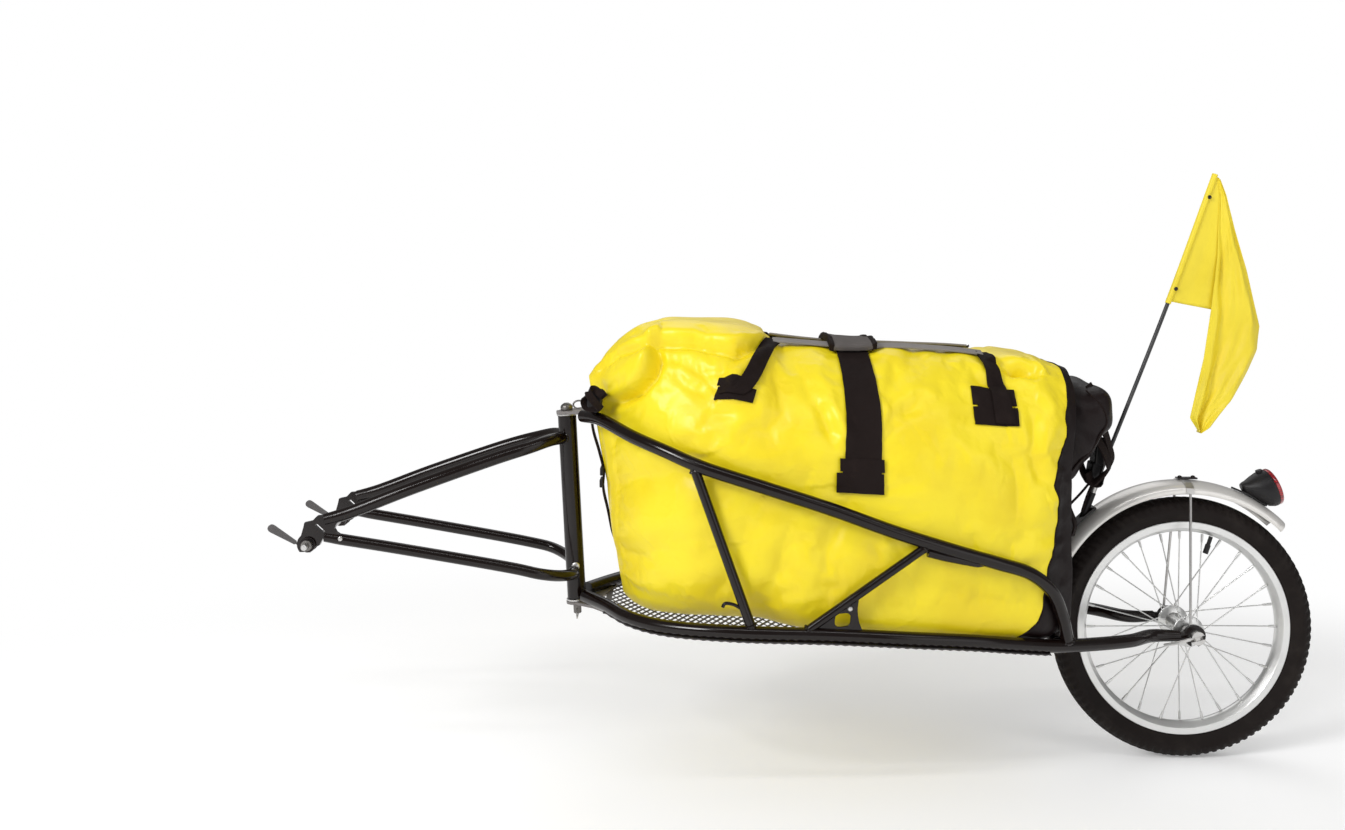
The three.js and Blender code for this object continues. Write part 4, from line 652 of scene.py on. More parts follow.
@dataclass
class Draft:
    """Vertices and faces of one piece, gathered form by form, in millimetres."""

    points: list = field(default_factory=list)
    faces: list = field(default_factory=list)

    def add(self, points: Iterable, faces: Iterable[Sequence[int]]) -> "Draft":
        """Adds points and the faces between them.

        Args:
            points: The points.
            faces: The corners of each face, as numbers of these points.

        Returns:
            The draft itself.
        """
        first = len(self.points)
        self.points.extend([tuple(map(float, point)) for point in points])
        self.faces.extend([tuple(first + int(corner) for corner in face) for face in faces])
        return self

    def grid(self, rows: np.ndarray, around: bool = False, along: bool = False,
             caps: bool = False) -> "Draft":
        """Adds a net of quads.

        Args:
            rows: An array of rows, columns and 3 coordinates.
            around: Whether the last column joins the first.
            along: Whether the last row joins the first.
            caps: Whether the first and last rows are filled.

        Returns:
            The draft itself.
        """
        count, width = rows.shape[:2]
        faces = []
        for row in range(count if along else count - 1):
            first, below = row * width, (row + 1) % count * width
            for column in range(width if around else width - 1):
                beside = (column + 1) % width
                faces.append((first + column, first + beside, below + beside, below + column))
        if caps:
            faces.append(tuple(reversed(range(width))))
            faces.append(tuple((count - 1) * width + column for column in range(width)))
        return self.add(rows.reshape(-1, 3), faces)

    def tube(self, path: Sequence, radius: float | Sequence, sides: int = 20) -> "Draft":
        """Adds a round bar along a path.

        Args:
            path: The points of its centre line.
            radius: One radius, or one for each point.
            sides: Faces round the bar.

        Returns:
            The draft itself.
        """
        path = np.asarray(path, float)
        radii = np.broadcast_to(np.asarray(radius, float), (len(path),))
        runs = unit(np.gradient(path, axis=0))
        start = np.array([0.0, 0.0, 1.0]) if abs(runs[0][2]) < 0.9 else np.array([0.0, 1.0, 0.0])
        across = unit(np.cross(runs[0], start))
        rows = []
        turns = circle(sides)
        for point, run, reach in zip(path, runs, radii):
            across = unit(across - run * np.dot(across, run))
            ring = np.outer(np.cos(turns), across) + np.outer(np.sin(turns), np.cross(run, across))
            rows.append(point + reach * ring)
        return self.grid(np.array(rows), around=True, caps=True)

    def lathe(self, profile: Sequence, centre: Sequence, axis: Sequence, steps: int = 48,
              closed: bool = False) -> "Draft":
        """Adds a turned form.

        Args:
            profile: Pairs of radius and distance along the axis.
            centre: The point that distances start from.
            axis: The direction of the axis.
            steps: Faces round it.
            closed: Whether the profile is a ring, and else it ends on the axis.

        Returns:
            The draft itself.
        """
        along, across, other = square_axes(axis)
        turns = circle(steps)
        ring = np.outer(np.cos(turns), across) + np.outer(np.sin(turns), other)
        rows = [np.asarray(centre, float) + reach * ring + distance * along for reach, distance in profile]
        return self.grid(np.array(rows), around=True, along=closed, caps=not closed)

    def ball(self, centre: Sequence, radius: float, squash: float = 1.0,
             axis: Sequence = (0, 0, 1)) -> "Draft":
        """Adds a round or flattened head.

        Args:
            centre: Its middle.
            radius: Its radius.
            squash: Its height as a share of its width.
            axis: The direction of its height.

        Returns:
            The draft itself.
        """
        arc = np.linspace(0.02, np.pi - 0.02, 12)
        profile = [(radius * math.sin(turn), -radius * squash * math.cos(turn)) for turn in arc]
        return self.lathe(profile, centre, axis, 20)

    def bead(self, centre: Sequence, axis: Sequence, radius: float, thick: float,
             seed: int = 0) -> "Draft":
        """Adds a weld bead, a ring of overlapping ripples.

        Args:
            centre: The ring's centre.
            axis: The bar that it goes round.
            radius: The bar's radius.
            thick: The bead's own radius.
            seed: Shifts the ripples.

        Returns:
            The draft itself.
        """
        along, across, other = square_axes(axis)
        ripples, height = 18, 0.16
        rows = []
        for turn in circle(72):
            out = math.cos(turn) * across + math.sin(turn) * other
            swell = thick * (1 + height * math.sin(ripples * turn + seed))
            middle = np.asarray(centre, float) + radius * out
            rows.append([middle + swell * (math.cos(s) * out + math.sin(s) * along) for s in circle(8)])
        return self.grid(np.array(rows), around=True, along=True)

    def band(self, path: Sequence, width: float, thick: float, across: Sequence = ACROSS) -> "Draft":
        """Adds a flat strap along a path.

        Args:
            path: The points of its middle line.
            width: The strap's width.
            thick: Its thickness.
            across: The direction of its width.

        Returns:
            The draft itself.
        """
        path = np.asarray(path, float)
        runs = unit(np.gradient(path, axis=0))
        beside = np.asarray(across, float)
        side = unit(beside - runs * (runs @ beside)[:, None])
        out = np.cross(runs, side)
        wide, deep = side * width / 2, out * thick / 2
        corners = [path - wide - deep, path + wide - deep, path + wide + deep, path - wide + deep]
        return self.grid(np.stack(corners, axis=1), around=True, caps=True)

    def plate(self, outline: Sequence, normal: Sequence, thick: float) -> "Draft":
        """Adds a flat plate.

        Args:
            outline: The 3D points of one face, in order.
            normal: The direction of its thickness.
            thick: The thickness.

        Returns:
            The draft itself.
        """
        outline = np.asarray(outline, float)
        other = outline + unit(np.asarray(normal, float)) * thick
        return self.grid(np.array([outline, other]), around=True, caps=True)

    def piece(self, name: str, finish: Finish, body: str, flat_angle: float = SHARP_ANGLE,
              replaces: str = "") -> bpy.types.Object:
        """Makes the object, smooth apart from edges sharper than an angle.

        Args:
            name: The piece's name.
            finish: Its finish.
            body: The CAD body that it rides on.
            flat_angle: Degrees above which an edge stays sharp.
            replaces: The CAD node that it stands for, if there is one.

        Returns:
            The new object.
        """
        mesh = bpy.data.meshes.new(name)
        work = bmesh.new()
        corners = [work.verts.new(Vector(point) * MM) for point in self.points]
        for face in self.faces:
            try:
                work.faces.new([corners[corner] for corner in face])
            except ValueError:
                log.debug("%s: a face was given twice", name)
        bmesh.ops.remove_doubles(work, verts=work.verts, dist=0.00001)
        bmesh.ops.recalc_face_normals(work, faces=work.faces)
        work.to_mesh(mesh)
        work.free()
        made = placed(name, mesh)
        mesh.shade_smooth()
        mesh.set_sharp_from_angle(angle=math.radians(flat_angle))
        dress(made, finish)
        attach(made, body)
        if replaces:
            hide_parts(replaces)
        log.info("%s: %d faces on %s", name, len(mesh.polygons), body)
        return made


def bevelled(piece: bpy.types.Object, width: float, segments: int = 2) -> bpy.types.Object:
    """Rounds a piece's edges.

    Args:
        piece: The piece.
        width: How wide the rounding is, in millimetres.
        segments: Its steps.

    Returns:
        The same piece.
    """
    modifier = piece.modifiers.new("edges", "BEVEL")
    modifier.width = width * MM
    modifier.segments = segments
    modifier.limit_method = "ANGLE"
    modifier.angle_limit = math.radians(SHARP_ANGLE)
    modifier.harden_normals = False
    return piece


@dataclass
class Studio:
    """The camera at the photograph's view, plain soft light and a pale floor."""

    focal: float = 33.46
    eye: tuple = (535.0, -1900.0, 407.5)
    shift: tuple = (-0.0048, -0.1137)
    floor_level: float = -341.0
    floor_half: float = 20.0
    sheen: float = 0.28
    lamps: tuple = (
        ("key", (-1.6, -2.1, 1.9), (0.75, 0, 0.05), (1.0, 1.0), 66),
        ("strip", (0.9, -1.6, 2.4), (0.8, 0, 0.05), (3.2, 0.16), 14),
        ("fill", (2.9, -2.6, 0.9), (0.9, 0, 0.0), (2.4, 2.0), 17),
        ("back", (0.9, 2.6, 2.4), (0.8, 0, 0.0), (2.6, 2.6), 22),
    )

    def camera(self) -> None:
        """Makes the camera."""
        data = bpy.data.cameras.new("camera")
        data.lens = self.focal
        data.sensor_width = 36
        data.shift_x, data.shift_y = self.shift
        data.clip_end = 100
        holder = placed("camera", data)
        holder.location = Vector(self.eye) * MM
        holder.rotation_euler = (math.radians(90), 0, 0)
        bpy.context.scene.camera = holder

    def seen_plainly(self, shader: Shader) -> Signal:
        """Tells the rays that look straight at the floor or the sky from the others.

        Args:
            shader: The shader that asks.

        Returns:
            1 for rays from the camera or through glass, and 0 for the rest.
        """
        path = shader.node("ShaderNodeLightPath")
        rays = [Signal(shader, path.outputs[name]) for name in ("Is Camera Ray", "Is Transmission Ray")]
        return shader.maths("MINIMUM", rays[0] + rays[1], 1.0)

    def world(self) -> None:
        """Makes a soft sky that looks white."""
        world = bpy.data.worlds.new("studio")
        bpy.context.scene.world = world
        shader = Shader(world)
        plain = self.seen_plainly(shader)
        glossy = shader.signal("ShaderNodeLightPath", "Is Glossy Ray")
        strength = 0.5 + plain * 0.5 - glossy * self.sheen
        light = shader.signal("ShaderNodeBackground", 0, None, {"Color": (1, 1, 1, 1), "Strength": strength})
        shader.node("ShaderNodeOutputWorld", None, {"Surface": light})

    def lamp(self, name: str, place: tuple, aim: tuple, size: tuple, power: float) -> None:
        """Adds one large soft lamp.

        Args:
            name: Its name.
            place: Where it hangs, in metres.
            aim: The point that it faces.
            size: Its width and height in metres.
            power: Its power in watts.
        """
        data = bpy.data.lights.new(name, "AREA")
        data.shape = "RECTANGLE"
        data.size, data.size_y = size
        data.energy = power
        holder = placed(name, data)
        holder.location = place
        holder.rotation_euler = (Vector(aim) - Vector(place)).to_track_quat("-Z", "Y").to_euler()

    def floor(self) -> None:
        """Makes the pale floor, which keeps the shadow."""
        half, level = self.floor_half, self.floor_level * MM
        corners = [(x * half, y * half, level) for x, y in ((-1, -1), (1, -1), (1, 1), (-1, 1))]
        mesh = bpy.data.meshes.new("floor")
        mesh.from_pydata(corners, [], [(0, 1, 2, 3)])
        ground = placed("floor", mesh)
        shader = Shader(bpy.data.materials.new("floor_finish"))
        plain = self.seen_plainly(shader)
        east, north, _ = shader.axes()
        away = ((east - 0.75) ** 2.0 + (north * 1.25) ** 2.0) ** 0.5
        far = away.between(1.0, 1.75) * plain
        mesh.materials.append(shader.finish({
            "Base Color": shader.mix(far, (0.86, 0.86, 0.86, 1), (0, 0, 0, 1)),
            "Roughness": 0.9,
            "Specular IOR Level": 0.0,
            "Emission Strength": 1.0,
            "Emission Color": shader.mix(far, (0.19, 0.19, 0.19, 1), (1, 1, 1, 1)),
        }))

    def build(self) -> None:
        """Makes the whole studio."""
        bpy.context.scene.view_settings.view_transform = "Standard"
        self.camera()
        self.world()
        self.floor()
        for lamp in self.lamps:
            self.lamp(*lamp)


@dataclass
class CargoFrame:
    """The bent tubes of the bay with their struts and welds."""

    axle_back: float = 1297.0
    axle_drop: float = 145.0
    head_back: float = 372.4
    half_width: float = 200.0
    upper_rise: float = 178.0
    corner_back: float = 1088.0
    corner_drop: float = 137.0
    lower_radius: float = 9.5
    upper_radius: float = 9.3
    plate_middle: float = 51.3
    plate_length: float = 50.0
    plate_radius: float = 16.0
    neck: float = 6.0
    seat: float = 0.3
    front_strut: tuple = (554.0, 636.0, 7.0)
    rear_strut: tuple = (878.0, 702.0, 6.0)
    crossbar_back: float = 1075.0
    crossbar_radius: float = 8.0
    gusset_back: float = 781.0
    gusset_window: tuple = (757.5, -79.0)
    window_size: tuple = (10.5, 9.0)
    window_power: float = 3.4
    gusset_half: float = 2.0
    gusset_bolt: tuple = (767.6, -63.5)
    weld: float = 2.0
    hook_radius: float = 2.4
    lower_shares: tuple = (
        (0.024, 0.12, 0.648), (0.059, 0.35, 0.648), (0.099, 0.625, 0.669), (0.152, 0.825, 0.676),
        (0.254, 1, 0.662), (0.405, 1, 0.69), (0.52, 0.985, 0.73), (0.614, 0.91, 0.786),
        (0.69, 0.78, 0.87), (0.758, 0.65, 0.938), (0.884, 0.42, 0.985),
    )
    upper_shares: tuple = (
        (0.021, 0.18, 1), (0.05, 0.35, 0.999), (0.106, 0.65, 0.942), (0.156, 0.825, 0.894),
        (0.206, 0.935, 0.84), (0.303, 1, 0.753), (0.401, 1, 0.66), (0.498, 1, 0.558),
        (0.598, 0.98, 0.465), (0.65, 0.935, 0.417), (0.703, 0.86, 0.359), (0.738, 0.79, 0.27),
        (0.758, 0.72, 0.15),
    )
    paths: dict = field(default_factory=dict)

    def lower_path(self, side: int) -> np.ndarray:
        """The centre line of a lower rail, worked out once for each side.

        Args:
            side: The rail's side.

        Returns:
            Its points, from the head to the wheel.
        """
        if side not in self.paths:
            span = np.array([self.axle_back - self.head_back, side * self.half_width, -self.axle_drop])
            rows = [(self.head_back, 0, 0) + np.array(shares) * span for shares in self.lower_shares]
            slot_front = self.axle_back - self.plate_length - 2 * self.neck
            tail = self.axle_back - self.plate_radius - self.seat - self.neck
            rows += [(back, side * self.plate_middle, -self.axle_drop) for back in (slot_front, tail)]
            self.paths[side] = spline(rows, 160)
        return self.paths[side]

    def upper_path(self, side: int) -> np.ndarray:
        """The centre line of an upper rail.

        Args:
            side: The rail's side.

        Returns:
            Its points, from the head to the lower rail.
        """
        start = np.array([self.head_back, 0, -self.corner_drop])
        span = np.array([
            self.axle_back - self.head_back, side * self.half_width, self.upper_rise + self.corner_drop])
        rows = [start + np.array(shares) * span for shares in self.upper_shares]
        rows.append(at_back(self.lower_path(side), self.corner_back))
        return spline(rows, 160)

    def rails(self, side: int) -> None:
        """Makes both rails of a side with the weld where they meet.

        Args:
            side: Their side.
        """
        name = side_name(side)
        lower = self.lower_path(side)
        radii = np.full(len(lower), self.lower_radius)
        tail = smoothstep(lower[:, 0], self.axle_back - self.plate_length - 3 * self.neck, lower[-1][0])
        Draft().tube(lower, radii * (1 - 0.12 * tail), 28).piece(
            f"rail_lower_{name}", Finish.PAINT, "frame", replaces=f"lower_rail_{name}")
        upper = self.upper_path(side)
        keep = np.linalg.norm(upper - upper[-1], axis=1) > self.lower_radius * 0.6
        draft = Draft().tube(upper[keep], self.upper_radius, 28)
        corner = unit(upper[-1] - upper[-8])
        draft.bead(upper[-1] - corner * (self.lower_radius + 1), corner, self.upper_radius, self.weld, side)
        draft.piece(f"rail_upper_{name}", Finish.PAINT, "frame", replaces=f"upper_rail_{name}")

    def struts(self, side: int) -> None:
        """Makes the struts of a side, each with a weld bead at both ends.

        Args:
            side: Their side.
        """
        name = side_name(side)
        upper, lower = self.upper_path(side), self.lower_path(side)
        for kind, (top_back, foot_back, radius) in (("front", self.front_strut), ("rear", self.rear_strut)):
            top, foot = at_back(upper, top_back), at_back(lower, foot_back)
            run = unit(foot - top)
            draft = Draft().tube(np.linspace(top + run * 3, foot - run * 3, 8), radius, 24)
            draft.bead(top + run * (self.upper_radius + 1.2), run, radius, 1.9, 1)
            draft.bead(foot - run * (self.lower_radius + 1.2), run, radius, 1.9, 2)
            draft.piece(f"strut_{kind}_{name}", Finish.PAINT, "frame", replaces=f"{kind}_strut_{name}")

    def strut_lug(self, side: int) -> None:
        """Makes the long welded top foot of the rear strut under the upper rail.

        Args:
            side: The strut's side.
        """
        upper = self.upper_path(side)
        backs = np.linspace(self.rear_strut[0] - 4, self.rear_strut[0] + 74, 18)
        points = np.array([at_back(upper, back) for back in backs])
        points[:, 2] -= np.interp(backs, [backs[0], backs[0] + 24, backs[-1]], [13.5, 12.5, 7.5])
        reach = np.interp(backs, [backs[0], backs[-1] - 8, backs[-1]], [self.rear_strut[2], 5.2, 2.4])
        Draft().tube(points, reach).piece(f"strut_lug_{side_name(side)}", Finish.PAINT, "frame")

    def crossbar(self) -> None:
        """Makes the bar behind the bay."""
        end = at_back(self.lower_path(RIGHT), self.crossbar_back)
        start = mirrored(end, -1)
        run = np.array([0.0, 1.0, 0.0])
        draft = Draft().tube(np.linspace(start + run * 4, end - run * 4, 8), self.crossbar_radius, 28)
        for middle, way in ((start, run), (end, -run)):
            draft.bead(middle + way * (self.lower_radius + 3), run, self.crossbar_radius, self.weld, 3)
        draft.piece("bay_crossbar", Finish.PAINT, "frame", replaces="rear_crossbar")

    def gusset_outline(self, side: int) -> np.ndarray:
        """The outline of the plate at the rear strut's foot, which bows in at its rear.

        Args:
            side: The plate's side.

        Returns:
            Its points, as distances back and up.
        """
        top = at_back(self.upper_path(side), self.rear_strut[0])
        foot = at_back(self.lower_path(side), self.rear_strut[1])
        back = self.gusset_back
        peak = (top[2] - foot[2]) / (top[0] - foot[0]) * (back - foot[0])
        bow = [(back + self.rear_strut[2], foot[2]), (back - 1, foot[2] + 0.3 * peak),
               (back - 3, foot[2] + 0.6 * peak), (back, foot[2] + peak)]
        return np.vstack([[(foot[0], foot[2])], spline(bow, 24)])

    def gusset(self, side: int) -> None:
        """Makes the plate at the rear strut's foot, with its window and its bolt.

        Args:
            side: The plate's side.
        """
        outline, middle = self.gusset_outline(side), np.array(self.gusset_window)
        turns = circle(72)
        reach = np.array([self.ray_reach(outline, middle, turn) for turn in turns])
        cosine, sine = np.cos(turns), np.sin(turns)
        window = rounded(cosine / self.window_size[0], sine / self.window_size[1], self.window_power)
        window = np.minimum(window * (1 + 0.12 * sine * cosine), reach - 3.2)
        out = at_back(self.lower_path(side), middle[0])[1]
        half = self.gusset_half
        rings = []
        for away, shift in ((reach, -half), (window, -half), (window, half), (reach, half)):
            level = np.full(len(turns), out + shift)
            rings.append(np.stack([middle[0] + away * cosine, level, middle[1] + away * sine], axis=1))
        name = side_name(side)
        plate = Draft().grid(np.array(rings), around=True, along=True)
        bevelled(plate.piece(
            f"gusset_plate_{name}", Finish.PAINT, "frame", replaces=f"strut_gusset_{name}"), 0.5)
        back, rise = self.gusset_bolt
        bolt = Draft().ball((back, out + 2.4 * side, rise), 3.6, 0.6, ACROSS)
        bolt.ball((back, out - 2.4 * side, rise), 3.2, 0.6, ACROSS)
        bolt.piece(f"gusset_bolt_{name}", Finish.STEEL, "frame")

    def ray_reach(self, outline: np.ndarray, middle: np.ndarray, turn: float) -> float:
        """How far an outline lies from a point inside it, in one direction.

        Args:
            outline: The corners of the outline.
            middle: The point inside it.
            turn: The direction's angle.

        Returns:
            The distance, in millimetres.
        """
        way = np.array([math.cos(turn), math.sin(turn)])
        found = []
        for start, end in zip(outline, np.roll(outline, -1, axis=0)):
            matrix = np.array([way, start - end]).T
            if abs(np.linalg.det(matrix)) < 1e-9:
                continue
            distance, share = np.linalg.solve(matrix, start - middle)
            if distance > 0 and -1e-6 <= share <= 1 + 1e-6:
                found.append(distance)
        return min(found)

    def hook(self, side: int) -> None:
        """Makes the small hook for a cord at the front strut's foot.

        Args:
            side: The strut's side.
        """
        top = at_back(self.upper_path(side), self.front_strut[0])
        foot = at_back(self.lower_path(side), self.front_strut[1])
        root = foot + (top - foot) * 0.13
        bends = ((-31, 0, 5), (-28, 0, 10), (-17, 0, 9), (-7, 0, 4), (0, 0, 0))
        draft = Draft().tube(spline([root + bend for bend in bends], 24), self.hook_radius, 12)
        draft.piece(f"cord_hook_{side_name(side)}", Finish.PAINT, "frame")

    def build(self) -> None:
        """Makes every tube of the bay."""
        for side in SIDES:
            self.rails(side)
            self.struts(side)
            self.strut_lug(side)
            self.gusset(side)
            self.hook(side)
        self.crossbar()


@dataclass
class MeshFloor:
    """The expanded metal floor: slanted diamonds inside a plain border."""

    bay: CargoFrame
    front: float = 424.0
    rear: float = 1058.0
    thick: float = 1.4
    border: float = 9.0
    along: float = 12.0
    across: float = 22.0
    strand: float = 2.2
    twist: float = 0.3
    lip: float = -0.5
    tooth: float = 1.6

    def top(self, back: np.ndarray) -> np.ndarray:
        """The floor's level under the rails."""
        path = self.bay.lower_path(RIGHT)
        return np.interp(back, path[:, 0], path[:, 2]) - self.bay.lower_radius - self.bay.seat

    def half_width(self, back: np.ndarray) -> np.ndarray:
        """Half the floor's width at a distance back."""
        path = self.bay.lower_path(RIGHT)
        return np.interp(back, path[:, 0], path[:, 1]) + self.bay.lower_radius + self.lip

    def strands(self, draft: Draft) -> None:
        """Adds the slanted strands of every diamond.

        Args:
            draft: The draft that takes them.
        """
        columns = int((self.rear - self.front - 2 * self.border) / (self.along / 2))
        rows = int(2 * self.bay.half_width / (self.across / 2))
        for column in range(columns):
            back = self.front + self.border + column * self.along / 2
            ahead = back + self.along / 2
            room = min(float(self.half_width(back)), float(self.half_width(ahead))) - self.border
            for row in range(-rows // 2, rows // 2):
                if (row + column) % 2:
                    continue
                out = row * self.across / 2
                for step in (-1, 1):
                    end = out + step * self.across / 2
                    if max(abs(out), abs(end)) > room:
                        continue
                    self.strand_bar(draft, back, ahead, out, end)

    def strand_bar(self, draft: Draft, back: float, ahead: float, out: float, end: float) -> None:
        """Adds one strand between two knuckles, twisted a little as it is in expanded metal.

        Args:
            draft: The draft that takes it.
            back: Where its first knuckle lies along the bay.
            ahead: Where its second knuckle lies.
            out: How far the first knuckle lies to the side.
            end: How far the second one does.
        """
        half, twist = self.strand / 2, self.twist
        level = self.top(np.array([back, ahead]))
        corners = []
        for depth in (0.0, -self.thick):
            for place, middle, height in ((back, out, level[0]), (ahead, end, level[1])):
                corners.append((place - half, middle, height + depth + twist))
                corners.append((place + half, middle, height + depth - twist))
        draft.add(corners, [(0, 1, 3, 2), (4, 6, 7, 5), (0, 2, 6, 4), (1, 5, 7, 3)])

    def rim(self, draft: Draft) -> None:
        """Adds the plain border, with the cut teeth of the sheet's edge outside the rails.

        Args:
            draft: The draft that takes it.
        """
        backs = np.linspace(self.front, self.rear, 320)
        for side in SIDES:
            teeth = self.tooth + self.tooth * np.cos(2 * np.pi * (backs - self.front) / self.along)
            outer = side * (self.half_width(backs) - 2 + teeth)
            inner = side * (self.half_width(backs) - self.border - 3)
            level = self.top(backs)
            rows = [np.stack([backs, out, level + depth], axis=1) for out, depth in (
                (outer, 0.0), (inner, 0.0), (inner, -self.thick), (outer, -self.thick))]
            draft.grid(np.stack(rows, axis=1), around=True, caps=True)
        for back in (self.front + self.border / 2, self.rear - self.border / 2):
            reach = float(self.half_width(np.array(back))) - 4
            level = float(self.top(np.array(back)))
            half = self.border / 2
            corners = ((-half, -reach), (half, -reach), (half, reach), (-half, reach))
            draft.plate([(back + ahead, out, level) for ahead, out in corners], (0, 0, -1), self.thick)

    def build(self) -> None:
        """Makes the floor."""
        draft = Draft()
        self.strands(draft)
        self.rim(draft)
        # The mesh takes the lighter grey copy of the black paint, a painted sheen.
        draft.piece("floor_of_expanded_mesh", Finish.PLATE_PAINT_PAINTED_SHEEN, "frame", replaces="floor_mesh")


@dataclass
class SteeringHead:
    """The steer tube with its bushings, pin and rivet; the plates' thickness sets the pin's length."""

    back: float = 372.4
    rise: float = 36.6
    lean: float = math.radians(3.1)
    length: float = 277.0
    radius: float = 14.0
    bore: float = 11.0
    plate_top: float = 7.9
    plate_bottom: float = 7.6
    seat: float = 0.3
    tail: float = 16.0
    rivet_rise: float = -88.0

    def place(self, along: float) -> np.ndarray:
        """Returns the point of the kingpin's line at a distance above the tube's middle."""
        return np.array([self.back, 0, self.rise]) + along * self.axis

    @property
    def axis(self) -> np.ndarray:
        """Returns the direction of the kingpin, upwards."""
        return np.array([-math.sin(self.lean), 0, math.cos(self.lean)])

    def tube(self) -> None:
        """Makes the steer tube with a rolled edge at both ends."""
        half = self.length / 2
        profile = [
            (self.bore, -half), (self.radius - 0.8, -half), (self.radius, -half + 0.8),
            (self.radius, half - 0.8), (self.radius - 0.8, half), (self.bore, half),
        ]
        draft = Draft().lathe(profile, self.place(0), self.axis, 64, closed=True)
        draft.piece("steer_tube_shell", Finish.PAINT, "fork", replaces="steer_tube")

    def bushings(self) -> None:
        """Makes the two plain bearings."""
        half = self.length / 2
        section = (
            (6.3, -20), (10.7, -20), (10.7, 0.3), (15.0, 0.3), (15.5, 0.8), (15.5, 2.8), (15.0, 3.3),
            (6.3, 3.3))
        for name, up in (("top", 1), ("bottom", -1)):
            profile = [(radius, up * (half + rise)) for radius, rise in section]
            Draft().lathe(profile, self.place(0), self.axis, closed=True).piece(
                f"bushing_ring_{name}", Finish.STEEL, "fork", replaces=f"bushing_{name}")

    def pin(self) -> None:
        """Makes the kingpin with its knob."""
        half = self.length / 2
        foot = half + self.plate_top + self.seat
        tail = -half - self.plate_bottom - self.tail
        profile = [
            (0.01, tail), (5, tail), (6, tail + 1), (6, foot), (9, foot), (9.3, foot + 1),
            (9.3, foot + 5), (8.4, foot + 7), (6.2, foot + 9), (3.4, foot + 10.6), (0.01, foot + 11),
        ]
        draft = Draft().lathe(profile, self.place(0), self.axis, 40)
        draft.piece("kingpin_shaft", Finish.DARK_STEEL, "frame", replaces="kingpin")

    def rivet(self) -> None:
        """Makes the bright round head low on the steer tube's near side."""
        draft = Draft().ball(self.place(self.rivet_rise) + (2, -self.radius, 0), 6.2, 0.4, ACROSS)
        draft.piece("steer_tube_rivet", Finish.STEEL, "fork")

    def build(self) -> None:
        """Makes the head."""
        self.tube()
        self.bushings()
        self.pin()
        self.rivet()


@dataclass
class HitchFork:
    """The legs of the fork and the hitch at their front end."""

    head: SteeringHead
    half_width: float = 92.0
    upper_rise: float = 142.0
    lower_drop: float = 62.0
    upper_radius: float = 9.3
    lower_radius: float = 8.2
    end_back: float = 23.0
    plate_rise: float = 41.0
    upper_shares: tuple = (
        (0.975, 0, 0.993), (0.924, 0.38, 1), (0.845, 0.62, 0.945), (0.72, 0.76, 0.849),
        (0.387, 0.89, 0.546), (0.137, 0.965, 0.299),
    )
    lower_shares: tuple = (
        (1.015, 0, -1), (1.005, 0.36, -0.95), (0.96, 0.72, -0.85), (0.894, 0.925, -0.73),
        (0.8, 0.945, -0.6), (0.35, 0.975, -0.12),
    )

    def leg(self, shares: tuple, rise: float, end_rise: float, side: int) -> np.ndarray:
        """The centre line of one leg, from the steer tube to the dropout.

        Args:
            shares: Its bends, as shares of its reach, half width and rise.
            rise: The rise at the steer tube.
            end_rise: The rise at the dropout.
            side: The leg's side.

        Returns:
            The points of the line.
        """
        span = np.array([self.head.back, side * self.half_width, rise])
        end = np.array([self.end_back, side * self.half_width, end_rise])
        return spline([np.array(row) * span for row in shares] + [end], 110)

    def legs(self, side: int) -> None:
        """Makes both legs of a side.

        Args:
            side: Their side.
        """
        name = side_name(side)
        kinds = (
            ("upper", self.upper_shares, self.upper_rise, 0.86 * self.plate_rise, self.upper_radius),
            ("lower", self.lower_shares, self.lower_drop, 0.25 * self.plate_rise, self.lower_radius),
        )
        for kind, shares, rise, end_rise, radius in kinds:
            path = self.leg(shares, rise, end_rise, side)
            away = np.linalg.norm((path - self.head.place(0))[:, :2], axis=1)
            path = path[away > self.head.radius * 0.9]
            end = smoothstep(-path[:, 0], -self.end_back - 26, -self.end_back)
            draft = Draft().tube(path, radius * (1 - 0.1 * end), 28)
            run = unit(path[6] - path[0])
            draft.bead(path[0] + run * (self.head.radius * 0.22), run, radius, 2.0, 4)
            draft.piece(f"leg_{kind}_{name}", Finish.PAINT, "fork", replaces=f"fork_leg_{kind}_{name}")

    def axle(self) -> None:
        """Makes the hitch axle rod with its bobbins."""
        rod = [(0, out, 0) for out in (-118, -60, 60, 118)]
        draft = Draft().tube(rod, 4.2, 32)
        draft.piece("hitch_axle_rod", Finish.STEEL, "hitch_axle_set", replaces="hitch_axle")
        for side in SIDES:
            name = side_name(side)
            low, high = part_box(f"hitch_bobbin_{name}")
            near, far = sorted((abs(low.y) / MM, abs(high.y) / MM))
            inner, outer = self.half_width - 4.3, self.half_width + 4.3
            profile = [
                (4.5, near), (8.4, near), (9, near + 0.6), (9, inner - 4.3), (11, inner - 3.5),
                (11, inner - 0.5), (10.5, inner), (6.3, inner), (6.3, outer), (10.5, outer),
                (11, outer + 0.5), (11, far - 0.5), (10.5, far), (4.5, far),
            ]
            draft = Draft().lathe([(r, side * y) for r, y in profile], (0, 0, 0), ACROSS, closed=True)
            draft.piece(
                f"bobbin_{name}", Finish.OILED_STEEL, "hitch_axle_set", replaces=f"hitch_bobbin_{name}")

    def rivets(self) -> None:
        """Makes the rivet of each hitch plate."""
        out = self.half_width + self.lower_radius - 0.6
        for side in SIDES:
            draft = Draft().ball((47, side * out, 9), 3.6, 0.6, ACROSS)
            draft.piece(f"hitch_rivet_{side_name(side)}", Finish.STEEL, "fork")

    def build(self) -> None:
        """Makes the fork."""
        for side in SIDES:
            self.legs(side)
        self.axle()
        self.rivets()


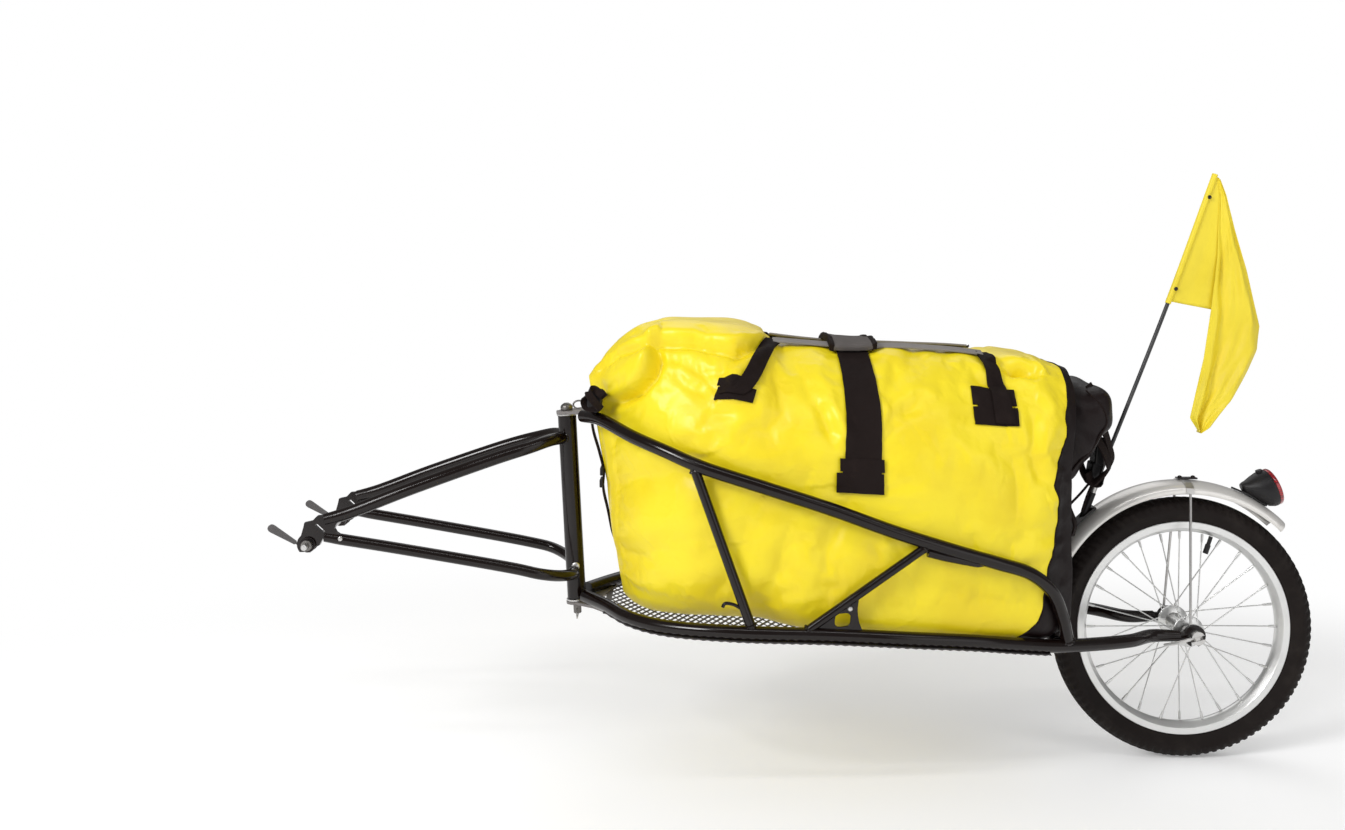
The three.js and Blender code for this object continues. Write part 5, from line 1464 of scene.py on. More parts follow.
@dataclass
class TrailerWheel:
    """The spoked wheel with its tyre."""

    centre: tuple = (1297.0, 0.0, -145.0)
    tyre_radius: float = 196.0
    tyre_half: float = 22.0
    flange_radius: float = 161.0
    rim_half: float = 13.5
    bed_radius: float = 154.5
    inner_radius: float = 144.0
    spokes_per_side: int = 14
    spoke_lean: float = math.radians(24)
    spoke_radius: float = 0.95
    knobs: int = 96
    tread: float = 2.2

    def tyre(self) -> None:
        """Makes the tyre, with rows of slanted knobs."""
        flank = np.abs(sweep := np.linspace(-1, 1, 44))
        bead, middle = self.rim_half - 2.6, (self.tyre_radius + self.flange_radius) / 2 - 1
        swing = np.minimum(flank * 0.62 * np.pi * 1.12, np.pi / 2)
        wall = [0.72, 1.0]
        out = np.sign(sweep) * np.where(
            flank < wall[0], self.tyre_half * np.sin(swing), np.interp(flank, wall, [self.tyre_half, bead]))
        height = np.where(flank < wall[0], middle + (self.tyre_radius - middle) * np.cos(swing),
                          np.interp(flank, wall, [middle, self.flange_radius - 2]))
        turns = circle(self.knobs * 6)
        tread = smoothstep(0.62 - flank, 0.0, 0.06)
        wave = np.cos(self.knobs * turns[:, None] + np.where(sweep > 0, np.pi, 0) + 5 * flank)
        centre_row = smoothstep(0.11 - flank, 0.0, 0.03)
        knob = np.maximum(smoothstep(wave, -0.45, 0.05) * tread * (1 - centre_row), centre_row * 0.9)
        gap = smoothstep(np.abs(flank - 0.3), 0.0, 0.035)
        reach = height - self.tread * tread + self.tread * knob * (0.35 + 0.65 * gap)
        outer = swept(self.centre, np.minimum(reach, self.tyre_radius), out, turns)
        inner = swept(self.centre, np.full(2, self.bed_radius + 0.5), np.array([bead, -bead]), turns)
        draft = Draft().grid(np.concatenate([outer, inner], axis=1), around=True, along=True)
        draft.piece("tyre_with_tread", Finish.TYRE, "wheel", 50, replaces="tyre")

    def rim(self) -> None:
        """Makes the rim, with brake faces and a rounded inner edge."""
        half = [
            (self.inner_radius, 0.0), (self.inner_radius + 0.6, 4.5), (self.inner_radius + 3, 7.4),
            (self.bed_radius - 5, self.rim_half - 1.6), (self.bed_radius - 3.5, self.rim_half),
            (self.flange_radius - 0.8, self.rim_half), (self.flange_radius, self.rim_half - 0.8),
            (self.flange_radius, self.rim_half - 1.6), (self.flange_radius - 0.8, self.rim_half - 2.2),
            (self.bed_radius, self.rim_half - 2.2), (self.bed_radius - 2.5, 5.0),
        ]
        profile = half + [(r, -y) for r, y in reversed(half[1:])]
        draft = Draft().lathe(profile, self.centre, ACROSS, 180, closed=True)
        draft.piece("rim_hoop", Finish.RIM, "wheel", replaces="rim")

    def hub_and_spokes(self) -> None:
        """Makes the hub shell and lays the spokes from flange to rim."""
        half = [
            (5.2, 48), (8.4, 48), (9, 47.4), (9.4, 42), (11, 34), (11.6, 33), (22.4, 31.4), (23, 30.8),
            (23, 28.6), (22.4, 28), (13, 25), (11.4, 20), (10.6, 8), (10.6, 0),
        ]
        profile = half + [(r, -y) for r, y in reversed(half[:-1])]
        draft = Draft().lathe(profile, self.centre, ACROSS, 64, closed=True)
        middle = np.array(self.centre)
        for side in SIDES:
            for index in range(self.spokes_per_side):
                turn = 2 * math.pi * (index + (0.5 if side == RIGHT else 0)) / self.spokes_per_side
                lean = self.spoke_lean if index % 2 == 0 else -self.spoke_lean
                start = middle + (21 * math.cos(turn + lean), side * 29.5, 21 * math.sin(turn + lean))
                end = middle + (143.6 * math.cos(turn), side * 3, 143.6 * math.sin(turn))
                run = unit(end - start)
                draft.tube([start, (start + end) / 2, end], self.spoke_radius, 10)
                draft.tube([end - run * back for back in (13, 8, 0.5)], [1.5, 1.9, 2.1], 10)
                draft.ball(start + (0, side * 1.6, 0), 2.0, 0.6, ACROSS)
        draft.piece("hub_and_spokes", Finish.SPOKE, "wheel", replaces="hub_with_spokes")

    def build(self) -> None:
        """Makes the wheel."""
        self.tyre()
        self.rim()
        self.hub_and_spokes()


@dataclass
class FenderSet:
    """The crowned fender over the wheel."""

    centre: tuple = (1297.0, 0.0, -145.0)
    crown: float = 222.0
    lip: float = 206.0
    half_width: float = 28.0
    thick: float = 1.8
    rear: float = 46.0
    front: float = 150.0
    bridge_thick: float = 2.4

    def shell(self) -> None:
        """Makes the fender's shell, narrower at its ends."""
        turns = np.radians(np.linspace(self.rear, self.front, 90))
        sweep = np.linspace(-1, 1, 25) * np.pi / 2
        reach = self.lip + (self.crown - self.lip) * np.cos(sweep) ** 0.9
        ends = np.minimum(turns - turns[0], turns[-1] - turns) * self.crown
        narrow = 1 - 0.16 * (1 - np.clip(ends / 16, 0, 1)) ** 2
        out = self.half_width * np.sin(sweep) * narrow[:, None]
        outer = swept(self.centre, reach, out, turns)
        inner = swept(self.centre, reach - self.thick, out * 0.94, turns)
        draft = Draft().grid(np.concatenate([outer, inner[:, ::-1]], axis=1), around=True, caps=True)
        draft.piece("fender_shell", Finish.FENDER, "frame", 60, replaces="fender")

    def bridge(self) -> None:
        """Makes the clip's bridge over the crown, with its two screws."""
        top = np.array([self.centre[0] + 11, 0, self.centre[2] + self.crown + self.bridge_thick])
        draft = Draft().band([top + (ahead, 0, 0) for ahead in (-17, -5, 5, 13)], 11, self.bridge_thick)
        for ahead in (-12, 8):
            draft.ball(top + (ahead, 0, 1.4), 3.4, 0.8)
        draft.piece("fender_bridge", Finish.PAINT, "frame")

    def build(self) -> None:
        """Makes the fender."""
        self.shell()
        self.bridge()


@dataclass
class TailLight:
    """The light on the fender, a tapered housing round a red lens."""

    back: float = 1441.0
    rise: float = 68.0
    tilt: float = math.radians(20)
    sections: tuple = (
        (-8.3, 28, 28, 0), (-10, 28.4, 28.4, 0), (-13, 28.2, 28.2, 0.1), (-20, 27.2, 26.6, 1),
        (-30, 22.5, 20.5, 4.6), (-40, 15.5, 12.5, 9.4), (-46, 10.5, 8.6, 12.6), (-49, 7, 6, 14))
    lens_profile: tuple = (
        (0.01, -8), (27.6, -8), (28, -7.6), (28, -3.6), (27.2, -2.4), (24, -1.2), (14, -0.3), (0.01, 0))

    def place(self, points: Sequence) -> np.ndarray:
        """Points of the light, where it sits on the fender.

        Args:
            points: The points as seen from the middle of the lens.

        Returns:
            The same points in the scene.
        """
        cosine, sine = math.cos(self.tilt), math.sin(self.tilt)
        turn = np.array([[cosine, 0, -sine], [0, 1, 0], [sine, 0, cosine]])
        return np.asarray(points, float) @ turn.T + np.array([self.back, 0, self.rise])

    def build(self) -> None:
        """Makes the housing with a collar round the lens, and the lens, domed a little."""
        turns = circle(48)
        rows = np.array([
            np.stack([np.full(len(turns), along), wide * np.cos(turns), lift + high * np.sin(turns)], axis=1)
            for along, wide, high, lift in self.sections])
        draft = Draft().grid(self.place(rows), around=True, caps=True)
        draft.piece("light_case", Finish.PLASTIC, "frame", 50, replaces="light_housing")
        middle = self.place((0, 0, 0))
        draft = Draft().lathe(self.lens_profile, middle, self.place((1, 0, 0)) - middle, 56)
        draft.piece("light_glass", Finish.LENS, "frame", replaces="light_lens")


@dataclass
class Flag:
    """The yellow pennant and its pole."""

    foot: tuple = (1151.0, 0.0, 26.0)
    bend: tuple = (1278.0, 0.0, 345.0)
    top: tuple = (1350.0, 0.0, 541.0)
    clear: float = 3.2
    fold_line: tuple = ((1352, 538), (1356, 510), (1352, 418), (1347, 377), (1341, 335))
    tuck: float = 13.0
    hanging_foot: tuple = ((1341, 335), (1330, 262), (1317, 206), (1309, 171), (1323, 149))
    free_edge: tuple = (
        (1358, 533), (1367, 509), (1380, 456), (1398, 395), (1418, 310), (1413, 274), (1397, 243),
        (1372, 198), (1337, 157), (1323, 149),
    )
    flat: tuple = (0.27, 0.3)
    thick: float = 0.5
    fold_rows: int = 40
    hem_rows: int = 36
    pole_radius: float = 3.0
    sleeve_radius: float = 4.4
    sleeve_foot: int = 248
    studs: tuple = (372, 265)

    def line(self, count: int) -> np.ndarray:
        """Returns that many points along the pole."""
        return spline((self.foot, self.bend, self.top), count)

    def pole(self) -> None:
        """Makes the pole with its ferrule."""
        line = self.line(60)
        draft = Draft().tube(line, self.pole_radius)
        draft.piece("flag_rod", Finish.POLE, "flag", replaces="flag_pole")
        run = unit(line[4] - line[0])
        ferrule = Draft().tube([line[0] + run * along for along in (32, 38, 44)], self.sleeve_radius, 24)
        ferrule.piece("flag_ferrule", Finish.STEEL, "flag")

    def panel(self, left: np.ndarray, right: np.ndarray, depths: np.ndarray) -> np.ndarray:
        """Points of one panel, straight across between its two edges.

        Args:
            left: Its left edge from the top down, as distances back and up.
            right: Its right edge.
            depths: How far each point stands off the flag's plane, row by row.

        Returns:
            The points, row by row.
        """
        share = np.linspace(0, 1, depths.shape[1])[None, :, None]
        flat = (1 - share) * left[:, None] + share * right[:, None]
        return np.stack([flat[..., 0], depths, flat[..., 1]], axis=-1)

    def front(self, crease: np.ndarray) -> tuple[np.ndarray, np.ndarray]:
        """The panel by the pole and the tuck behind it.

        Args:
            crease: The line where the cloth is folded, from the top down.

        Returns:
            The points of the panel and of the tuck, row by row.
        """
        rows = np.linspace(394, 250, len(crease)).astype(int)
        pole_side = self.line(400)[rows][:, (0, 2)] + (self.clear, 0)
        down, across = np.linspace(0, 1, len(crease))[:, None], np.linspace(0, 1, 30)
        behind = crease + self.tuck * down * (1, -0.12)
        wave = 2 + 3.2 * np.sin(across * 5.2 + 0.4) + np.sin(across * 11 + down * 5)
        front = self.panel(pole_side, behind, down * wave * across)
        turned = down * np.linspace(1, -6, 7) + front[:, -1:, 1] * np.linspace(1, 0, 7)
        return front, self.panel(behind, crease, turned)

    def hanging(self, crease: np.ndarray) -> np.ndarray:
        """The panel that hangs from the fold down to the pennant's tip.

        Args:
            crease: The line where the cloth is folded, from the top down.

        Returns:
            Its points, row by row.
        """
        rows = len(crease) + self.hem_rows
        left = np.vstack([crease, even(self.hanging_foot, self.hem_rows + 1)[1:]])
        drop, across = np.linspace(0, 1, rows)[:, None], np.linspace(0, 1, 56)
        ripple = 6.0 * np.sin(across * 8.2 - drop * 3.0 + 0.5) + 2.6 * np.sin(across * 17 - drop * 7 + 1.2)
        ripple = ripple + 0.8 * np.sin(across * 31 + drop * 23) + 1.6 * np.sin(drop * 19 + across * 4)
        start = np.interp(drop, [0, (len(crease) - 1) / (rows - 1), 1], [0, -6, -6])
        wave = ripple * smoothstep(across, 0, 0.25) * (0.2 + 0.8 * smoothstep(drop, 0, 0.5))
        return self.panel(left, even(self.free_edge, rows), start + wave)

    def cloth(self) -> None:
        """Makes the pennant, its sleeve on the pole and its two studs."""
        crease = even(self.fold_line, self.fold_rows)
        (front, turned), hanging = self.front(crease), self.hanging(crease)
        hanging[:len(crease), 0] = turned[:, -1]
        draft = Draft().grid(np.concatenate([front, turned[:, 1:], hanging[:len(crease), 1:]], axis=1))
        draft.grid(hanging[len(crease) - 1:])
        piece = draft.piece("flag_pennant", Finish.FLAG, "flag", 180, replaces="flag_cloth")
        thicken(piece, self.thick)
        line = self.line(400)
        sleeve = Draft().tube(line[self.sleeve_foot:], self.sleeve_radius, 18)
        sleeve.piece("flag_sleeve", Finish.FLAG, "flag")
        for index, place in enumerate(self.studs):
            stud = Draft().ball(line[place] + (2.5, -4.6, 0), 3.0, 0.5, ACROSS)
            stud.piece(f"flag_stud_{index + 1}", Finish.PLASTIC, "flag")

    def build(self) -> None:
        """Makes the flag."""
        self.pole()
        self.cloth()


def thicken(piece: bpy.types.Object, thick: float) -> None:
    """Gives a sheet its thickness.

    Args:
        piece: The sheet.
        thick: The thickness, in millimetres.
    """
    modifier = piece.modifiers.new("cloth", "SOLIDIFY")
    modifier.thickness = thick * MM
    modifier.offset = 0
    with bpy.context.temp_override(object=piece, active_object=piece, selected_objects=[piece]):
        bpy.ops.object.modifier_apply(modifier=modifier.name)


def softened(values: np.ndarray, along: int, around: int) -> np.ndarray:
    """Values on a net that closes round, averaged over their neighbours.

    Args:
        values: The values, row by row.
        along: How many rows to either side count.
        around: How many columns to either side count.

    Returns:
        The averages.
    """
    for axis, reach, mode in ((0, along, "edge"), (1, around, "wrap")):
        weight = np.hanning(2 * reach + 3)[1:-1]
        room = [(0, 0), (0, 0)]
        room[axis] = (reach, reach)
        padded = np.pad(values, room, mode=mode)
        values = np.apply_along_axis(np.convolve, axis, padded, weight / weight.sum(), "valid")
    return values


def side_turn(degrees: Sequence, side: int) -> np.ndarray:
    """Angles round the bag.

    Args:
        degrees: The angles over the bag's widest line.
        side: The side that they are on.

    Returns:
        The angles in radians, from the right side over the top.
    """
    turn = np.radians(np.asarray(degrees, float))
    return turn if side == RIGHT else np.pi - turn


@dataclass
class Crease:
    """One fold line on the bag's side, from start to end, in millimetres back and up."""

    line: tuple
    depth: float
    width: float
    shoulder: float = 0.6


@dataclass
class BagForm:
    """The shape of the bag: a square rounded loft with folds."""

    floor: MeshFloor
    front: float = 408.0
    rear: float = 1092.0
    half_width: float = 184.0
    top_rise: float = 318.0
    soft_gap: float = 1.2
    squareness: float = 4.5
    foot_squareness: float = 14.0
    groove: float = 3.0
    groove_back: float = 790.0
    sim_size: tuple = (130, 220)
    sim_frames: int = 20
    cloth_settings: dict = field(default_factory=lambda: {
        "quality": 6, "mass": 0.25, "tension_stiffness": 20, "compression_stiffness": 20,
        "shear_stiffness": 8, "bending_stiffness": 0.4, "use_pressure": True,
        "uniform_pressure_force": 4.0, "shrink_min": -0.05, "vertex_group_mass": "held"})
    most_moved: float = 9.0
    slack: float = 3.0
    sim_inset: tuple = (6, 4)
    seam_share: float = 0.95
    patch_backs: tuple = (610, 974)
    moved: Union[np.ndarray, None] = None
    nose: tuple = ((-1, 44), (-0.4, 31), (0, 25), (0.5, 14), (0.8, 1), (1, -8))
    tail: tuple = ((-1, 0), (0.2, 0), (0.5, 5), (0.8, 13), (1, 13))
    rows: tuple = (
        (0, 0.22, 0.74, 0.2, 0.04), (0.035, 0.4, 0.85, 0.3, 0.01), (0.1, 0.66, 0.985, 0.4, 0),
        (0.2, 0.88, 1.005, 0.45, 0), (0.3, 1, 1.005, 0.5, 0), (0.345, 1, 0.985, 0.5, 0),
        (0.4, 1, 0.905, 0.5, 0), (0.52, 1, 0.89, 0.5, 0), (0.6, 1, 0.885, 0.5, 0),
        (0.74, 0.97, 0.872, 0.45, 0),
        (0.86, 0.9, 0.855, 0.4, 0.0), (0.94, 0.83, 0.85, 0.3, 0.02), (1, 0.7, 0.805, 0.22, 0.07),
    )
    seam_line: tuple = (
        (-136, 980), (-124, 1004), (-110, 1023), (-96, 1037), (-76, 1045), (-45, 1046), (-20, 1050),
        (-2, 1057), (23, 1066), (50, 1068), (68, 1067), (94, 1060), (115, 1063), (140, 1073),
        (163, 1080), (189, 1077), (215, 1081), (240, 1084), (330, 1085))
    creases: tuple = (
        Crease(((432, 196), (474, 219), (497, 243), (505, 265), (508, 286)), 17, 7, 0.5),
        Crease(((414, 222), (457, 245), (486, 266), (502, 282)), -13, 14, 0),
        Crease(((424, 250), (446, 270), (507, 288), (557, 290), (616, 282), (672, 293)), 11, 6, 0.9),
        Crease(((450, 292), (510, 304), (575, 306), (640, 300)), -6, 12, 0),
        Crease(((1004, 257), (1024, 253), (1048, 249)), 30, 6, 0.4),
        Crease(((1012, 240), (1045, 237), (1074, 238)), -3, 6, 0),
        Crease(((517, 279), (550, 262), (590, 243)), 8, 12),
        Crease(((520, 262), (540, 238), (584, 224)), 6, 12),
        Crease(((640, 288), (600, 262), (592, 236)), 6, 9),
        Crease(((736, 196), (744, 176), (758, 158)), 7, 9),
        Crease(((722, 226), (734, 200), (742, 180)), 5, 12),
        Crease(((838, 186), (852, 200), (878, 210)), 6, 10),
        Crease(((836, 222), (846, 250), (880, 262)), 5, 12),
        Crease(((950, 250), (978, 236), (1010, 238)), 7, 8),
        Crease(((430, 60), (470, 100), (540, 128)), 5, 22),
        Crease(((450, -30), (500, 0), (560, 10)), 6, 24),
        Crease(((640, 60), (612, 0), (600, -60)), 6, 20),
        Crease(((700, 70), (680, 20), (676, -40)), 6, 18),
        Crease(((760, 80), (742, 30), (744, -30)), 5, 18),
        Crease(((560, 120), (640, 90), (700, 96)), 4, 22),
        Crease(((560, 150), (600, 186), (680, 176)), 4, 20),
        Crease(((900, 130), (930, 90), (940, 40)), 5, 22),
        Crease(((1000, 150), (1010, 90), (1000, 30)), 6, 18),
        Crease(((1040, 200), (1030, 140), (1046, 90)), 7, 12),
        Crease(((820, 20), (860, -30), (940, -50)), 5, 20),
        Crease(((450, -70), (520, -82), (600, -86)), 5, 9),
    )

    def row(self, along: np.ndarray) -> np.ndarray:
        """The table's shares at places along the bag, smoothed.

        Args:
            along: Shares of the bag's length.

        Returns:
            An array with the width, top, ridge and heel shares.
        """
        table = np.array(self.rows)
        fine = np.linspace(0, 1, 301)
        weight = np.exp(-(np.arange(-12, 13) / 5.0) ** 2)
        weight /= weight.sum()
        result = []
        for column in table.T[1:]:
            plain = np.interp(fine, table[:, 0], column)
            padded = np.concatenate([2 * plain[0] - plain[12:0:-1], plain, 2 * plain[-1] - plain[-2:-14:-1]])
            result.append(np.interp(along, fine, np.convolve(padded, weight, "valid")))
        return np.array(result)

    def point(self, back: np.ndarray, turn: np.ndarray) -> np.ndarray:
        """Points of the smooth skin.

        Args:
            back: Distances behind the hitch axle.
            turn: Angles round the bag, 0 at the right side and rising over the top.

        Returns:
            The points, in millimetres.
        """
        back, turn = np.broadcast_arrays(np.asarray(back, float), np.asarray(turn, float))
        along = (back - self.front) / (self.rear - self.front)
        width, top, ridge, heel = self.row(along)
        level = self.floor.top(np.clip(back, self.floor.front, self.floor.rear)) + self.soft_gap
        bottom = level + heel * self.top_rise
        half = (top * self.top_rise - bottom) / 2
        cosine, sine = np.cos(turn), np.sin(turn)
        foot = smoothstep(back, 640, 760) * (1 - 0.65 * smoothstep(back, 930, 1010))
        power = self.squareness + np.where(sine < 0, foot * (self.foot_squareness - self.squareness), 0)
        square = rounded(cosine, sine, power)
        up = square * sine
        narrow = np.where(up > 0, 1 - ridge * np.abs(up) ** 3, 1.0)
        across = square * cosine * narrow * (width * self.half_width)
        ends = (1 - along) ** 8 * np.interp(up, *zip(*self.nose))
        ends = ends + along ** 10 * np.interp(up, *zip(*self.tail))
        return np.stack([back + ends, across, bottom + half * (1 + up)], axis=-1)

    def fold(self, points: np.ndarray) -> np.ndarray:
        """How deep the folds press in at points on the skin.

        Args:
            points: Points of the smooth skin.

        Returns:
            Depths in millimetres, negative where the cloth stands out.
        """
        depth = np.zeros(points.shape[:-1])
        place = points[..., (0, 2)]
        for crease in self.creases:
            line = np.array(crease.line, float)
            nearest = np.full(depth.shape, 1e9)
            signed = np.zeros(depth.shape)
            for start, end in zip(line[:-1], line[1:]):
                run, offset = end - start, place - start
                share = np.clip((offset @ run) / (run @ run), 0, 1)
                gap = offset - share[..., None] * run
                distance = np.linalg.norm(gap, axis=-1)
                above = np.sign(run[0] * gap[..., 1] - run[1] * gap[..., 0])
                signed = np.where(distance < nearest, above, signed)
                nearest = np.minimum(nearest, distance)
            ends = np.minimum(*(np.linalg.norm(place - end, axis=-1) for end in (line[0], line[-1])))
            fade = 0.25 + 0.75 * smoothstep(ends, 0, 22)
            press = np.exp(-(nearest / crease.width) ** 2)
            beside = np.exp(-((nearest - 1.7 * crease.width) / (1.3 * crease.width)) ** 2) * (signed > 0)
            depth += crease.depth * fade * (press - crease.shoulder * beside)
        return depth * np.clip(np.abs(points[..., 1]) / 90, 0, 1)

    def ruffle(self, points: np.ndarray) -> np.ndarray:
        """Small uneven swells of the loaded cloth.

        Args:
            points: Points of the smooth skin.

        Returns:
            How far each stands out, in millimetres.
        """
        east, north, up = points[..., 0], points[..., 1], points[..., 2]
        total = 2.6 * np.sin(east / 71 + 1.3 * np.sin(up / 93 + 0.8)) * np.cos(up / 64 + north / 120)
        total += 1.6 * np.sin(east / 37 + 2.1 + 1.7 * np.sin(up / 41)) * np.cos(up / 33 + north / 47 + 0.6)
        total += 0.8 * np.sin(east / 17 + 1.9 * np.sin(up / 23 + north / 31)) * np.cos(up / 15 + north / 22)
        return total

    def held(self, start: np.ndarray, backs: np.ndarray, turns: np.ndarray) -> np.ndarray:
        """How firmly the cloth is held under the straps, at the foot and at both ends.

        Args:
            start: The cloth's points, row by row.
            backs: How far back each row lies.
            turns: The angle of each column.

        Returns:
            A share for each point.
        """
        degrees, rows = np.degrees(np.abs(np.pi / 2 - turns))[None, :], backs[:, None]
        strap = np.exp(-((rows - self.groove_back) / 27) ** 6) * (degrees < 96)
        patches = [
            np.exp(-((rows - back) / 34) ** 4) * (np.abs(degrees - 57) < 9) for back in self.patch_backs]
        ends = np.broadcast_to(np.minimum(rows - backs[0], backs[-1] - rows) < 8, strap.shape)
        return np.maximum.reduce([strap, *patches, ends * 1.0, (start[..., 2] < -70) * 1.0])

    def cloth(self, start: np.ndarray, held: np.ndarray) -> bpy.types.Object:
        """Makes the cloth that is simulated.

        Args:
            start: Its points, row by row.
            held: How firmly each is held.

        Returns:
            The object, with its modifier.
        """
        mesh = bpy.data.meshes.new("bag_sim")
        mesh.from_pydata((start.reshape(-1, 3) * MM).tolist(), [], Draft().grid(start, around=True).faces)
        cloth = placed("bag_sim", mesh)
        group = cloth.vertex_groups.new(name="held")
        for index, weight in enumerate(held.ravel()):
            if weight > 0.05:
                group.add([index], float(min(weight, 1.0)), "REPLACE")
        modifier = cloth.modifiers.new("cloth", "CLOTH")
        for name, value in self.cloth_settings.items():
            setattr(modifier.settings, name, value)
        modifier.settings.effector_weights.gravity = 0
        modifier.collision_settings.use_collision = False
        return cloth

    def billow(self) -> None:
        """Blows the loaded cloth up by simulation and keeps how far each place of the skin moved.

        The cloth starts a little inside the skin and a few percent too large, and it is held under
        the straps, at the foot and at both ends, so the slack gathers into folds between them.
        """
        backs = np.linspace(
            self.front + self.sim_inset[0], self.rear - self.sim_inset[1], self.sim_size[0])
        turns = circle(self.sim_size[1])
        start, skin, outside = (self.skin(backs[:, None], turns, lift) for lift in (-self.slack, 0.0, 1.0))
        held = self.held(start, backs, turns)
        cloth = self.cloth(start, held)
        for step in range(1, self.sim_frames + 1):
            bpy.context.scene.frame_set(step)
        result = cloth.evaluated_get(bpy.context.evaluated_depsgraph_get())
        moved = np.empty(start.size)
        result.data.vertices.foreach_get("co", moved)
        outward = (moved.reshape(start.shape) / MM - start) * (outside - skin)
        change = outward.sum(axis=-1) - self.slack * (1 - held)
        bpy.data.objects.remove(cloth)
        bpy.context.scene.frame_set(1)
        upper_front = smoothstep(start[..., 2], 60, 200) * smoothstep(-backs, -760, -600)[:, None]
        change = (0.55 + 0.3 * upper_front) * (change - softened(change, 14, 18))
        self.moved = np.clip(change, -self.most_moved, self.most_moved)
        log.info("bag cloth moved %.1f to %.1f mm", change.min(), change.max())

    def moved_at(self, back: np.ndarray, turn: np.ndarray) -> np.ndarray:
        """How far the simulated cloth moved at places on the skin.

        Args:
            back: Distances behind the hitch axle.
            turn: Angles round the bag.

        Returns:
            The distances outwards, in millimetres.
        """
        if self.moved is None:
            return np.zeros(back.shape)
        rows, columns = self.moved.shape
        length = self.rear - self.front - sum(self.sim_inset)
        row = np.clip((back - self.front - self.sim_inset[0]) / length, 0, 1) * (rows - 1)
        column = np.mod(turn / (2 * np.pi), 1.0) * columns
        low, left = np.minimum(row.astype(int), rows - 2), column.astype(int) % columns
        up, over = row - low, column - column.astype(int)
        right = (left + 1) % columns
        above = self.moved[low, left] * (1 - over) + self.moved[low, right] * over
        below = self.moved[low + 1, left] * (1 - over) + self.moved[low + 1, right] * over
        return above * (1 - up) + below * up

    def skin(self, back: np.ndarray, turn: np.ndarray, lift: float | np.ndarray = 0.0) -> np.ndarray:
        """Points of the folded skin.

        Args:
            back: Distances behind the hitch axle.
            turn: Angles round the bag.
            lift: How far outside the skin, along its normal.

        Returns:
            The points, in millimetres.
        """
        back, turn = np.broadcast_arrays(np.asarray(back, float), np.asarray(turn, float))
        base = self.point(back, turn)
        along = self.point(back + 2, turn) - self.point(back - 2, turn)
        around = self.point(back, turn + 0.01) - self.point(back, turn - 0.01)
        normal = unit(np.cross(around, along))
        free = smoothstep(base[..., 2], -88, -50)
        groove = self.groove * np.exp(-((base[..., 0] - self.groove_back) / 25) ** 4)
        depth = (self.fold(base) - self.ruffle(base)) * free + groove * free - self.moved_at(back, turn)
        return base + normal * (np.asarray(lift) - depth)[..., None]

    def shares(self, rows: int) -> np.ndarray:
        """Returns where each row lies as a share of the length, with closer rows at the ends."""
        share = np.linspace(0, 1, rows)
        return share - 0.06 * np.sin(2 * np.pi * share)

    def net(self, rows: int, columns: int) -> np.ndarray:
        """The whole skin, with the seam before the black end on one row.

        Args:
            rows: How many rows lie along the bag.
            columns: How many points lie round it.

        Returns:
            The net, row by row from the front.
        """
        share, split, turns = self.shares(rows)[:, None], self.seam_share, circle(columns)
        plain = self.point(self.front + share * (self.rear - self.front), turns)
        seam = np.interp(plain[..., 2], *zip(*self.seam_line))
        ahead = self.front + (seam - self.front) * share / split
        behind = seam + (self.rear - seam) * (share - split) / (1 - split)
        return self.skin(np.where(share < split, ahead, behind), np.broadcast_to(turns, seam.shape))


